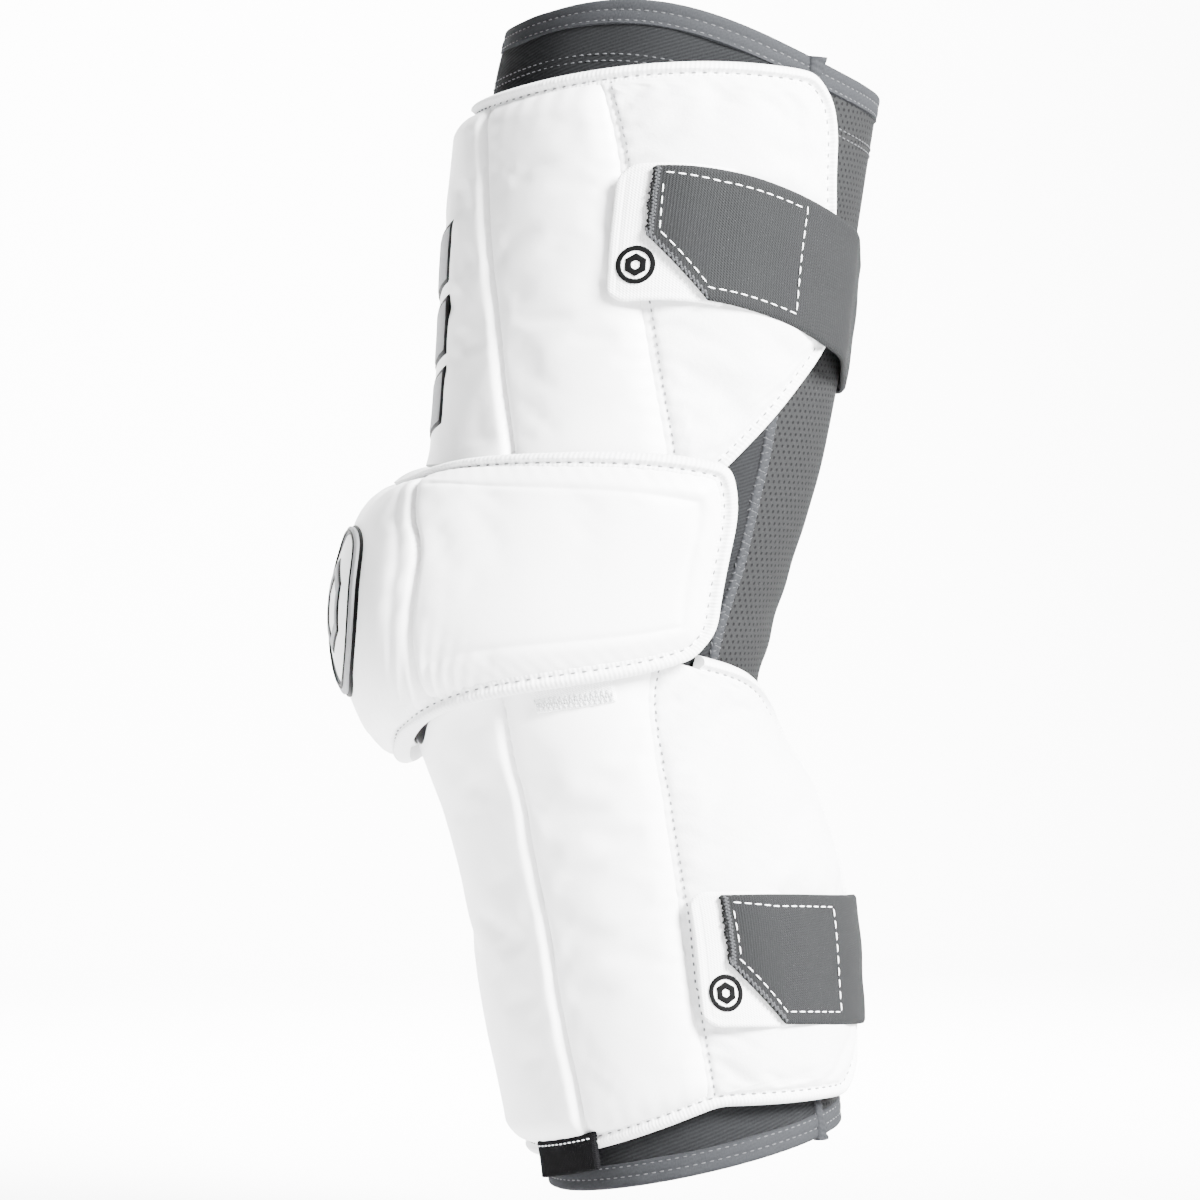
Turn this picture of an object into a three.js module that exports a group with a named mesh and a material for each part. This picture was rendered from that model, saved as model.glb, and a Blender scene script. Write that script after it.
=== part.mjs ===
// Lacrosse arm pad: a knitted sleeve with a padded upper guard, a padded forearm guard, an elbow cap over
// the bend, two elastic straps and their tabs. Millimetres, +Z up. The elbow faces -X and the inside of the
// arm +X. The origin is the middle of the arm hollow at the elbow.
//
// Every piece lies on the arm's surface: a place on it is an angle in degrees, 0 at the front of the elbow
// and 90 on the side at -Y, and a height. A piece's lift is its distance out from that surface.

import * as THREE from 'three';
import { mergeVertices } from 'three/addons/utils/BufferGeometryUtils.js';

const { lerp, clamp, smoothstep, degToRad } = THREE.MathUtils;

// The arm hollow and the sleeve.
const SLEEVE_LENGTH = 400;
const ARM_DEPTH = 124;
const ARM_WIDTH = 110;
const SLEEVE_WALL = 1.2;
const HEM_HEIGHT = 8.5;
const HEM_WALL = 1.7;
const SEAM_WIDTH = 3.6;
const SEAM_WALL = 1.5;

// Clear distances: between neighbours edge to edge, between a pad and the sleeve, between stacked layers.
const EDGE_GAP = 0.6;
const PAD_GAP = 1;
const LAYER_GAP = 0.6;

// Pads: thickness above the sleeve of each panel's middle, and of its edge at a groove or a stitch line.
const RIDGE_THICKNESS = 11;
const SIDE_THICKNESS = 9;
const WING_THICKNESS = 6.6;
const GROOVE_THICKNESS = 6.4;
const STITCH_THICKNESS = 5.2;
const BINDING_WIDTH = 6.2;
const BINDING_THICKNESS = 6;
const WING_FLARE = 1.2;
const FLARE_START = 88;
const FLARE_END = 118;
const PANEL_SHARE = 0.94;

// The elbow cap: its own thickness at the rim, how far its crown stands out at the front and at the sides.
const CAP_RIM_THICKNESS = 5.4;
const CAP_RIM_REACH = 0.6;
const CAP_CROWN = 2.4;
const CAP_SHELL = 13;
const CAP_SIDE_SWELL = 1.2;
const CAP_LIP_LIFT = 1.2;
const CAP_EDGE_SHARE = 1.12;
const CAP_TAB_START = 64;
const CAP_TAB_LENGTH = 22.5;
const CAP_TAB_HEIGHT = 12;

// Badge on the cap, and the raised bars down the front of the upper guard.
const BADGE_DIAMETER = 56;
const BADGE_RING_WIDTH = 4;
const BADGE_RING_THICKNESS = 1.8;
const BADGE_PLATE_THICKNESS = 1.2;
const BAR_COUNT = 3;
const BAR_LENGTH = 20;
const BAR_SPACING = 24;
const BAR_WIDTH = 18.4;
const BAR_SLANT = 5;
const BAR_THICKNESS = 1;

// Straps, their tabs, the tabs that tie the cap down, and the label on the bottom edge.
const STRAP_WIDTH = 42;
const STRAP_THICKNESS = 1.8;
const STRAP_BACK_LIFT = 1;
const TAB_THICKNESS = 1.1;
const TAB_CORNER = 6;
const TAB_REACH = 9.2;
const TAB_LENGTH = 30.6;
const TAB_RAMP = [22.5, 34.7];
const SIDE_RAMP = [6.1, 22.5];
const CLIP_HEIGHT = 20;
const CLIP_LENGTH = 17.4;
const LABEL_LENGTH = 12.5;
const LABEL_WIDTH = 29.6;
const LABEL_START = 17;
const LABEL_THICKNESS = 1;

// Sections of the arm: at is a share of SLEEVE_LENGTH from the elbow, front and back are shares of
// ARM_DEPTH from the middle line, width is a share of ARM_WIDTH.
const ARM_SECTIONS = [
  { at: -0.5, front: 0.115, back: 0.656, width: 0.85 },
  { at: -0.42, front: 0.15, back: 0.641, width: 0.87 },
  { at: -0.335, front: 0.206, back: 0.624, width: 0.88 },
  { at: -0.25, front: 0.249, back: 0.602, width: 0.89 },
  { at: -0.17, front: 0.312, back: 0.526, width: 0.9 },
  { at: -0.125, front: 0.37, back: 0.444, width: 0.9 },
  { at: -0.085, front: 0.43, back: 0.41, width: 0.91 },
  { at: -0.04, front: 0.505, back: 0.444, width: 0.93 },
  { at: 0, front: 0.515, back: 0.481, width: 0.945 },
  { at: 0.04, front: 0.462, back: 0.523, width: 0.955 },
  { at: 0.08, front: 0.395, back: 0.566, width: 0.955 },
  { at: 0.125, front: 0.35, back: 0.604, width: 0.963 },
  { at: 0.21, front: 0.327, back: 0.656, width: 0.98 },
  { at: 0.29, front: 0.315, back: 0.685, width: 1 },
  { at: 0.375, front: 0.288, back: 0.728, width: 1.018 },
  { at: 0.43, front: 0.275, back: 0.755, width: 1.02 },
  { at: 0.5, front: 0.215, back: 0.8, width: 1.03 },
];

// Where the seam between the front and the inner fabric runs, in degrees; at is a share of SLEEVE_LENGTH.
const SEAM_LINE = [
  { at: -0.5, seam: 139 },
  { at: -0.42, seam: 136.5 },
  { at: -0.25, seam: 131 },
  { at: -0.05, seam: 125 },
  { at: 0.03, seam: 126.5 },
  { at: 0.11, seam: 122 },
  { at: 0.5, seam: 120 },
];

// Borders of the upper guard in degrees, from its foot under the cap (0) to its top edge (1): ridge is the
// groove beside the front ridge, side the stitch line, wing the outer edge.
const UPPER_BORDERS = [
  { at: 0, ridge: 43, side: 89, wing: 104 },
  { at: 0.2, ridge: 35.5, side: 81, wing: 123 },
  { at: 0.39, ridge: 30.5, side: 75, wing: 137 },
  { at: 0.57, ridge: 25.7, side: 70.2, wing: 134 },
  { at: 0.76, ridge: 20.4, side: 64.5, wing: 129.5 },
  { at: 0.93, ridge: 16.3, side: 58.4, wing: 125 },
  { at: 1, ridge: 14.8, side: 55.2, wing: 117 },
];

// The same for the forearm guard, from its bottom edge (0) to its top under the cap (1).
const LOWER_BORDERS = [
  { at: 0, ridge: 43.5, side: 87.2, wing: 146 },
  { at: 0.07, ridge: 43, side: 87.2, wing: 160 },
  { at: 0.18, ridge: 42.4, side: 86.7, wing: 165 },
  { at: 0.42, ridge: 41, side: 84.8, wing: 165 },
  { at: 0.66, ridge: 41.1, side: 87.8, wing: 165 },
  { at: 0.82, ridge: 46, side: 95.2, wing: 160 },
  { at: 0.92, ridge: 50.2, side: 98.2, wing: 149 },
  { at: 0.97, ridge: 52, side: 99.7, wing: 135 },
  { at: 1, ridge: 53, side: 100.7, wing: 116 },
];

// Half width of the cap in degrees, and of its front panel, from its bottom edge (0) to its top edge (1).
const CAP_BORDERS = [
  { at: 0, groove: 36, reach: 109 },
  { at: 0.1, groove: 38.5, reach: 114 },
  { at: 0.28, groove: 40.5, reach: 114 },
  { at: 0.5, groove: 41, reach: 112 },
  { at: 0.72, groove: 35, reach: 110 },
  { at: 0.9, groove: 26, reach: 106.5 },
  { at: 1, groove: 20, reach: 103 },
];

const FINISHES = {
  knit: { color: 0x55565a, roughness: 0.95 },
  mesh: { color: 0x76777a, roughness: 0.95 },
  band: { color: 0x7a7b7e, roughness: 0.9 },
  shell: { color: 0xf0f0f0, roughness: 0.45 },
  jersey: { color: 0xe8e8e8, roughness: 0.85 },
  binding: { color: 0xe2e2e2, roughness: 0.8 },
  badge: { color: 0xb8b9bb, roughness: 0.4 },
  elastic: { color: 0x737477, roughness: 0.9 },
  tab: { color: 0xeeeeee, roughness: 0.9 },
  label: { color: 0x151515, roughness: 0.8 },
};

// Reads one column of a table between its rows, smoothly through them.
function read(table, column, at) {
  const last = table.length - 1;
  const place = clamp(at, table[0].at, table[last].at);
  let row = 0;
  while (row < last - 1 && place > table[row + 1].at) row += 1;
  const slope = (i) => {
    const low = table[Math.max(i - 1, 0)];
    const high = table[Math.min(i + 1, last)];
    return (high[column] - low[column]) / (high.at - low.at);
  };
  const span = table[row + 1].at - table[row].at;
  const t = (place - table[row].at) / span;
  const rise = table[row + 1][column] - table[row][column];
  const a = slope(row) * span - rise;
  const b = rise - slope(row + 1) * span;
  return lerp(table[row][column], table[row + 1][column], t) + t * (1 - t) * (a * (1 - t) + b * t);
}

// A point of the arm's surface.
function skin(angle, z) {
  const at = z / SLEEVE_LENGTH;
  const front = read(ARM_SECTIONS, 'front', at) * ARM_DEPTH;
  const back = read(ARM_SECTIONS, 'back', at) * ARM_DEPTH;
  const width = read(ARM_SECTIONS, 'width', at) * ARM_WIDTH;
  const turn = degToRad(angle);
  const x = (back - front) / 2 - ((back + front) / 2) * Math.cos(turn);
  return new THREE.Vector3(x, (-width / 2) * Math.sin(turn), z);
}

// The same point lifted out along the surface's normal.
function lifted(angle, z, lift) {
  const step = 1;
  const around = skin(angle + step, z).sub(skin(angle - step, z));
  const along = skin(angle, z + step).sub(skin(angle, z - step));
  return skin(angle, z).addScaledVector(around.cross(along).normalize(), lift);
}

// Millimetres round the arm for one degree, at a lift.
function degree(lift) {
  return ((ARM_DEPTH + ARM_WIDTH) / 4 + lift) * degToRad(1);
}

// Shares 0 to 1 in even steps, and the same with a close step at each end for a rounded edge.
function even(count) {
  return Array.from({ length: count + 1 }, (_, i) => i / count);
}

function rounded(count, close) {
  return [0, ...even(count - 2).map((share) => lerp(close, 1 - close, share)), 1];
}

// 1 in the middle and 0 at both ends, flat for most of the way.
function crown(share) {
  return 1 - Math.abs(2 * share - 1) ** 4;
}

// A closed mesh from an outer and an inner grid of points, joined along their edges. place(u, v) gives the
// angle and height, under and over the lifts of the inner and outer face. A ring closes on itself along u.
function panel(name, finish, { columns, rows, place, under, over, ring = false }) {
  const count = ring ? columns.length - 1 : columns.length;
  const points = [];
  for (const lift of [over, under]) {
    for (let i = 0; i < count; i += 1) {
      for (const v of rows) {
        const { angle, z } = place(columns[i], v);
        points.push(...lifted(angle, z, lift(columns[i], v)).toArray());
      }
    }
  }
  const at = (side, i, j) => (side * count + (i % count)) * rows.length + j;
  const faces = [];
  const quad = (a, b, c, d) => faces.push(a, b, c, a, c, d);
  const lastColumn = columns.length - 1;
  const lastRow = rows.length - 1;
  for (let i = 0; i < lastColumn; i += 1) {
    for (let j = 0; j < lastRow; j += 1) {
      quad(at(0, i, j), at(0, i + 1, j), at(0, i + 1, j + 1), at(0, i, j + 1));
      quad(at(1, i, j), at(1, i, j + 1), at(1, i + 1, j + 1), at(1, i + 1, j));
    }
    quad(at(1, i, 0), at(1, i + 1, 0), at(0, i + 1, 0), at(0, i, 0));
    quad(at(0, i, lastRow), at(0, i + 1, lastRow), at(1, i + 1, lastRow), at(1, i, lastRow));
  }
  if (!ring) {
    for (let j = 0; j < lastRow; j += 1) {
      quad(at(1, 0, j), at(0, 0, j), at(0, 0, j + 1), at(1, 0, j + 1));
      quad(at(0, lastColumn, j), at(1, lastColumn, j), at(1, lastColumn, j + 1), at(0, lastColumn, j + 1));
    }
  }
  return solid(name, finish, points, faces);
}

// Merges equal points, drops faces with no area and turns the mesh the right way out.
function solid(name, finish, points, faces) {
  let geometry = new THREE.BufferGeometry();
  geometry.setAttribute('position', new THREE.Float32BufferAttribute(points, 3));
  geometry.setIndex(faces);
  geometry = mergeVertices(geometry, 1e-3);
  const merged = geometry.getIndex().array;
  const corner = [0, 1, 2].map(() => new THREE.Vector3());
  const kept = [];
  let volume = 0;
  for (let i = 0; i < merged.length; i += 3) {
    const [a, b, c] = merged.slice(i, i + 3);
    if (a === b || b === c || c === a) continue;
    kept.push(a, b, c);
    [a, b, c].forEach((point, k) => corner[k].fromBufferAttribute(geometry.attributes.position, point));
    volume += corner[0].dot(corner[1].cross(corner[2]));
  }
  geometry.setIndex(volume > 0 ? kept : kept.reverse());
  geometry.computeVertexNormals();
  const material = new THREE.MeshStandardMaterial({ metalness: 0, ...FINISHES[finish] });
  const mesh = new THREE.Mesh(geometry, material);
  mesh.name = name;
  return mesh;
}

// The line that lies inside an outline by a distance.
function inset(outline, distance, ring) {
  const count = outline.length;
  const scale = degree(BINDING_THICKNESS);
  return outline.map((point, i) => {
    const before = outline[ring ? (i + count - 1) % count : Math.max(i - 1, 0)];
    const after = outline[ring ? (i + 1) % count : Math.min(i + 1, count - 1)];
    const run = [(after.angle - before.angle) * scale, after.z - before.z];
    const share = distance / Math.hypot(...run);
    return { angle: point.angle - (run[1] * share) / scale, z: point.z + run[0] * share };
  });
}

// A band of one width along an outline.
function strip(name, finish, outline, width, { rows = even(3), under, over, ring = false }) {
  const steps = ring ? outline.length : outline.length - 1;
  const inner = inset(outline, width, ring);
  const index = (u) => Math.round(u * steps) % outline.length;
  return panel(name, finish, {
    columns: even(steps),
    rows,
    ring,
    place: (u, v) => ({
      angle: lerp(outline[index(u)].angle, inner[index(u)].angle, v),
      z: lerp(outline[index(u)].z, inner[index(u)].z, v),
    }),
    under: (u, v) => under(outline[index(u)], v),
    over: (u, v) => over(outline[index(u)], v),
  });
}

// The sleeve.
const PAD_LIFT = SLEEVE_WALL + PAD_GAP;

function topRim(angle) {
  const turn = degToRad(angle);
  const share = 0.451 + 0.033 * Math.cos(turn) + 0.02 * Math.sin(turn) ** 2 - 0.006 * Math.cos(3 * turn);
  return SLEEVE_LENGTH * share;
}

function bottomRim(angle) {
  return SLEEVE_LENGTH * (-0.465 - 0.0265 * Math.cos(degToRad(angle)));
}

function seamAngle(z) {
  return read(SEAM_LINE, 'seam', z / SLEEVE_LENGTH);
}

// Rows of the sleeve, closer together round the bend of the elbow.
const SLEEVE_ROWS = [
  0, 0.09, 0.18, 0.27, 0.34, 0.365, 0.39, 0.43, 0.47, 0.51, 0.55, 0.6, 0.63, 0.66, 0.74, 0.83, 0.92, 1,
];

function sleevePlace(from, to) {
  return (u, v) => {
    const middle = lerp(bottomRim(90), topRim(90), v);
    const angle = lerp(from(middle), to(middle), u);
    const low = bottomRim(angle) + HEM_HEIGHT + EDGE_GAP;
    const high = topRim(angle) - HEM_HEIGHT - EDGE_GAP;
    return { angle, z: lerp(low, high, v) };
  };
}

function sleeve() {
  const group = new THREE.Group();
  const half = SEAM_WIDTH / 2 / degree(0);
  const gap = EDGE_GAP / degree(0);
  const cloth = { rows: SLEEVE_ROWS, under: () => 0, over: () => SLEEVE_WALL };
  group.add(panel('sleeve_front_panel', 'knit', {
    ...cloth,
    columns: even(21),
    place: sleevePlace((z) => half + gap - seamAngle(z), (z) => seamAngle(z) - half - gap),
  }));
  group.add(panel('sleeve_inner_panel', 'mesh', {
    ...cloth,
    columns: even(11),
    place: sleevePlace((z) => seamAngle(z) + half + gap, (z) => 360 - seamAngle(z) - half - gap),
  }));
  for (const side of [1, -1]) {
    group.add(panel(`sleeve_seam_${side > 0 ? 'near' : 'far'}`, 'band', {
      ...cloth,
      columns: even(1),
      place: sleevePlace((z) => side * seamAngle(z) - half, (z) => side * seamAngle(z) + half),
      over: () => SEAM_WALL,
    }));
  }
  const hem = {
    columns: even(36),
    rows: even(1),
    ring: true,
    under: () => SLEEVE_WALL - HEM_WALL,
    over: () => SEAM_WALL,
  };
  group.add(panel('sleeve_top_hem', 'band', {
    ...hem,
    place: (u, v) => ({ angle: 360 * u, z: topRim(360 * u) - HEM_HEIGHT * (1 - v) }),
  }));
  group.add(panel('sleeve_bottom_hem', 'band', {
    ...hem,
    place: (u, v) => ({ angle: 360 * u, z: bottomRim(360 * u) + HEM_HEIGHT * v }),
  }));
  return group;
}

// The two guards. low and high give the bottom and top edge at an angle, borders the lines between panels,
// and boundTop says whether the top edge is the bound one, or else the bottom edge. stops are the outline's
// points down a wing, rows those of the panels, and end is the share of a panel's height that thins out
// towards the bound edge.
const UPPER_GUARD = {
  name: 'upper',
  borders: UPPER_BORDERS,
  low: () => 0.1025 * SLEEVE_LENGTH,
  high: (angle) => SLEEVE_LENGTH * (0.4165 + 0.02 * Math.sin(degToRad(angle)) ** 2),
  boundTop: true,
  stops: [0.07, 0.15, 0.25, 0.35, 0.45, 0.55, 0.65, 0.75, 0.87, 1],
  rows: [0, 0.16, 0.32, 0.48, 0.64, 0.8, 0.94, 1],
  end: 0.08,
};

const LOWER_GUARD = {
  name: 'lower',
  borders: LOWER_BORDERS,
  low: (angle) => SLEEVE_LENGTH * (-0.4125 - 0.05 * Math.max(Math.cos(degToRad(angle)), 0)),
  high: (angle) => {
    const rise = 0.011 * Math.min((angle / 112) ** 6, 1.25);
    return SLEEVE_LENGTH * (rise - 0.062 - 0.045 * Math.exp(-((angle / 36) ** 2)));
  },
  boundTop: false,
  stops: [0.07, 0.14, 0.25, 0.38, 0.52, 0.65, 0.76, 0.85, 0.91, 0.95, 0.98, 1],
  rows: [0, 0.05, 0.18, 0.34, 0.5, 0.66, 0.8, 0.91, 1],
  end: 0.07,
};

const BOUND_EDGE = BINDING_WIDTH + EDGE_GAP;

// Where a panel of a guard reads the borders, v being the share of its height.
function borderShare(guard, v) {
  return guard.boundTop ? PANEL_SHARE * v : lerp(1 - PANEL_SHARE, 1, v);
}

// One panel of a guard between two borders, from and to.
function guardPanel(guard, name, finish, { from, to, columns, over }) {
  const place = (u, v) => {
    const at = borderShare(guard, v);
    const angle = lerp(from(at), to(at), u);
    const low = guard.low(angle) + (guard.boundTop ? 0 : BOUND_EDGE);
    const high = guard.high(angle) - (guard.boundTop ? BOUND_EDGE : 0);
    return { angle, z: lerp(low, high, v) };
  };
  return panel(`${guard.name}_${name}`, finish, {
    columns,
    rows: guard.rows,
    place,
    under: (u, v) => standOff(place(u, v).angle),
    over: (u, v) => {
      const end = 1 - smoothstep(guard.boundTop ? 1 - v : v, 0, guard.end);
      return standOff(place(u, v).angle) + lerp(over(u), BINDING_THICKNESS - 1, end);
    },
  });
}

// Half the outline of a guard, from the middle of its bound edge, round the wing, to its end under the cap.
function halfOutline(guard) {
  const edge = guard.boundTop ? guard.high : guard.low;
  const far = guard.boundTop ? guard.low : guard.high;
  const corner = read(guard.borders, 'wing', guard.boundTop ? 1 : 0);
  const along = even(13).map((u) => ({ angle: u * corner, z: edge(u * corner) }));
  const beside = guard.stops.map((v) => {
    const angle = read(guard.borders, 'wing', guard.boundTop ? 1 - v : v);
    return { angle, z: lerp(edge(angle), far(angle), v) };
  });
  return [...along, ...beside];
}

// How far a guard stands off the sleeve at an angle: it lies close in front and flares towards the wing.
function standOff(angle) {
  return PAD_LIFT + WING_FLARE * smoothstep(Math.abs(angle), FLARE_START, FLARE_END);
}

// A wing fills the space between the stitch line and the inner line of the binding round it.
function wing(kind, side) {
  const half = halfOutline(kind);
  const edge = BOUND_EDGE + EDGE_GAP * 0.65;
  const line = inset(half, kind.boundTop ? -edge : edge, false);
  const stitch = (at) => read(kind.borders, 'side', at) + EDGE_GAP / 2 / degree(PAD_LIFT);
  const first = half.findIndex(({ angle }) => angle > stitch(kind.boundTop ? 1 : 0) + 4);
  const path = line.slice(first);
  const rim = (angle) => (kind.boundTop ? kind.high(angle) - BOUND_EDGE : kind.low(angle) + BOUND_EDGE);
  const end = (angle) => (kind.boundTop ? kind.low(angle) : kind.high(angle));
  const inner = path.map((_, i) => {
    const share = i / (path.length - 1);
    const angle = stitch(borderShare(kind, kind.boundTop ? 1 - share : share));
    return { angle, z: lerp(rim(angle), end(angle), share) };
  });
  const index = (v) => Math.round(v * (path.length - 1));
  const place = (u, v) => ({
    angle: side * lerp(inner[index(v)].angle, path[index(v)].angle, u),
    z: lerp(inner[index(v)].z, path[index(v)].z, u),
  });
  const under = (u, v) => standOff(place(u, v).angle);
  return panel(`${kind.name}_wing_${side > 0 ? 'near' : 'far'}`, 'jersey', {
    columns: rounded(6, 0.08),
    rows: even(path.length - 1),
    place,
    under,
    over: (u, v) => under(u, v) + lerp(STITCH_THICKNESS, WING_THICKNESS, crown(u)),
  });
}

function guard(kind) {
  const group = new THREE.Group();
  const gap = EDGE_GAP / 2 / degree(PAD_LIFT);
  const line = (column) => (at) => read(kind.borders, column, at);
  group.add(guardPanel(kind, 'ridge', 'shell', {
    columns: rounded(9, 0.05),
    from: (at) => gap - line('ridge')(at),
    to: (at) => line('ridge')(at) - gap,
    over: (u) => lerp(GROOVE_THICKNESS, RIDGE_THICKNESS, crown(u)),
  }));
  for (const side of [1, -1]) {
    group.add(guardPanel(kind, `side_${side > 0 ? 'near' : 'far'}`, 'shell', {
      columns: rounded(6, 0.09),
      from: (at) => side * (line('ridge')(at) + gap),
      to: (at) => side * (line('side')(at) - gap),
      over: (u) => lerp(lerp(GROOVE_THICKNESS, STITCH_THICKNESS, u), SIDE_THICKNESS, crown(u)),
    }));
    group.add(wing(kind, side));
  }
  const half = halfOutline(kind);
  const mirrored = half.slice(1).reverse().map(({ angle, z }) => ({ angle: -angle, z }));
  const outline = [...mirrored, ...half];
  const path = kind.boundTop ? outline.reverse() : outline;
  group.add(strip(`${kind.name}_binding`, 'binding', path, BINDING_WIDTH, {
    under: (point) => standOff(point.angle),
    over: (point, v) => standOff(point.angle) + BINDING_THICKNESS * lerp(0.6, 1, crown(v)),
  }));
  return group;
}

// The elbow cap. Its bottom edge hangs in a lip at the front; v runs from the bottom edge to the top edge.
function capBottom(angle) {
  const lip = Math.exp(-((angle / 36) ** 2));
  return SLEEVE_LENGTH * (-0.075 - 0.042 * lip + 0.0175 * (angle / 105) ** 6);
}

function capTop(angle) {
  return SLEEVE_LENGTH * (0.103 + 0.0175 * Math.sin(degToRad(angle)) ** 2 - 0.006 * (angle / 98) ** 6);
}

// How far the cap's rim stands over the guards, with room for its tabs; more at the front than at the
// sides, and most at the lip.
const CAP_SEAT = 2 * LAYER_GAP + TAB_THICKNESS;

function capRimLift(angle, v) {
  const front = Math.max(Math.cos(degToRad(angle)), 0) ** 2;
  const lip = CAP_LIP_LIFT * Math.exp(-((angle / 36) ** 2)) * (1 - v);
  return PAD_LIFT + SIDE_THICKNESS + CAP_SEAT + (RIDGE_THICKNESS - SIDE_THICKNESS) * front + lip;
}

// The cap's outer face over the rim: v is the share of its height.
function capOver(angle, v) {
  const front = Math.max(Math.cos(degToRad(angle)), 0) ** 2;
  const rim = capRimLift(angle, v) + CAP_RIM_THICKNESS + CAP_RIM_REACH * front;
  return rim + (CAP_SIDE_SWELL + (CAP_CROWN - CAP_SIDE_SWELL) * front) * crown(v);
}

function capUnder(angle, v) {
  const inner = Math.max(capOver(angle, v) - CAP_SHELL, PAD_LIFT);
  return lerp(capRimLift(angle, v), Math.min(inner, capRimLift(angle, v)), crown(v) ** 0.5);
}

function capPlace(from, to, inset) {
  return (u, v) => {
    const angle = lerp(from(v), to(v), u);
    return { angle, z: lerp(capBottom(angle) + inset, capTop(angle) - inset, v) };
  };
}

// The share of the cap's height at a place.
function capShare(angle, z) {
  return clamp((z - capBottom(angle)) / (capTop(angle) - capBottom(angle)), 0, 1);
}

function capPanel(name, columns, from, to) {
  const rows = rounded(10, 0.05);
  const place = capPlace(from, to, BOUND_EDGE * CAP_EDGE_SHARE);
  const lift = (over) => (u, v) => {
    const { angle, z } = place(u, v);
    return over(angle, capShare(angle, z));
  };
  return panel(name, 'shell', { columns, rows, place, under: lift(capUnder), over: lift(capOver) });
}

function elbowCap() {
  const group = new THREE.Group();
  const scale = degree(capOver(0, 0.5));
  const groove = (v) => read(CAP_BORDERS, 'groove', v);
  const reach = (v) => read(CAP_BORDERS, 'reach', v) - BOUND_EDGE / degree(PAD_LIFT);
  const gap = EDGE_GAP / scale;
  group.add(capPanel('elbow_cap_center', even(9), (v) => gap - groove(v), (v) => groove(v) - gap));
  for (const side of [1, -1]) {
    const name = `elbow_cap_side_${side > 0 ? 'near' : 'far'}`;
    group.add(capPanel(name, even(7), (v) => side * (groove(v) + gap), (v) => side * reach(v)));
  }
  const corner = (v) => read(CAP_BORDERS, 'reach', v);
  const across = (count, from, to) => even(count).map((u) => lerp(from, to, u));
  const bottom = across(22, -corner(0), corner(0)).map((angle) => ({ angle, z: capBottom(angle) }));
  const right = [0.1, 0.25, 0.4, 0.55, 0.7, 0.82, 0.92].map((v) => {
    const angle = corner(v);
    return { angle, z: lerp(capBottom(angle), capTop(angle), v) };
  });
  const top = across(20, corner(1), -corner(1)).map((angle) => ({ angle, z: capTop(angle) }));
  const left = right.map(({ angle, z }) => ({ angle: -angle, z })).reverse();
  group.add(strip('elbow_cap_binding', 'binding', [...bottom, ...right, ...top, ...left], BINDING_WIDTH, {
    ring: true,
    under: (point) => capRimLift(point.angle, capShare(point.angle, point.z)),
    over: ({ angle, z }, v) => {
      const edge = capShare(angle, z) > 0.5 ? 1 : 0;
      return capOver(angle, edge) - CAP_RIM_THICKNESS * 0.35 * (1 - crown(v * 0.5 + 0.05));
    },
  }));
  return group;
}

// A round badge on the front of the cap: a ring and a low plate inside it.
function badge() {
  const group = new THREE.Group();
  const middle = (capBottom(0) + capTop(0)) / 2;
  const top = capOver(0, 0.5);
  const scale = degree(top);
  const spread = lifted(0, middle + 1, top).distanceTo(lifted(0, middle - 1, top)) / 2;
  const disc = (name, finish, inner, outer, thickness, columns, rows) => {
    const place = (u, v) => {
      const radius = lerp(inner, outer, v);
      const turn = 2 * Math.PI * u;
      return { angle: (radius * Math.sin(turn)) / scale, z: middle + (radius * Math.cos(turn)) / spread };
    };
    const seat = (u, v) => {
      const { angle, z } = place(u, v);
      return capOver(angle, capShare(angle, z)) + LAYER_GAP;
    };
    const over = (u, v) => seat(u, v) + thickness;
    return panel(name, finish, { columns: even(columns), rows, place, under: seat, over, ring: true });
  };
  const outer = BADGE_DIAMETER / 2;
  const inner = outer - BADGE_RING_WIDTH;
  group.add(disc('badge_ring', 'badge', inner, outer, BADGE_RING_THICKNESS, 30, even(1)));
  group.add(disc('badge_plate', 'shell', 0, inner - EDGE_GAP, BADGE_PLATE_THICKNESS, 20, even(4)));
  return group;
}

// Slanted raised bars down the front ridge of the upper guard.
function ridgeBars() {
  const group = new THREE.Group();
  const lift = PAD_LIFT + RIDGE_THICKNESS + LAYER_GAP;
  const half = BAR_WIDTH / 2 / degree(0);
  for (let i = 0; i < BAR_COUNT; i += 1) {
    const low = SLEEVE_LENGTH * 0.13 + i * BAR_SPACING;
    group.add(panel(`ridge_bar_${i + 1}`, 'badge', {
      columns: even(2),
      rows: even(2),
      place: (u, v) => ({ angle: lerp(-half, half, u), z: low + BAR_LENGTH * v + BAR_SLANT * u }),
      under: () => lift,
      over: () => lift + BAR_THICKNESS,
    }));
  }
  return group;
}

// The straps run from a clipped end on the near side, round the inside of the arm, to the far wing.
const UPPER_STRAP = {
  name: 'upper_strap',
  start: 74.5,
  end: 250,
  edge: 138,
  wing: PAD_LIFT + WING_FLARE + WING_THICKNESS + LAYER_GAP,
  middle: (angle) => SLEEVE_LENGTH * (0.229 + 0.034 * (1 - Math.cos(degToRad(1.8 * (180 - angle))))),
};

const LOWER_STRAP = {
  name: 'lower_strap',
  start: 96,
  end: 262,
  edge: 166,
  wing: PAD_LIFT + WING_FLARE + WING_THICKNESS + LAYER_GAP,
  middle: (angle) => SLEEVE_LENGTH * (-0.305 + 0.0075 * (1 - Math.cos(degToRad(1.8 * (180 - angle))))),
};

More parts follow.
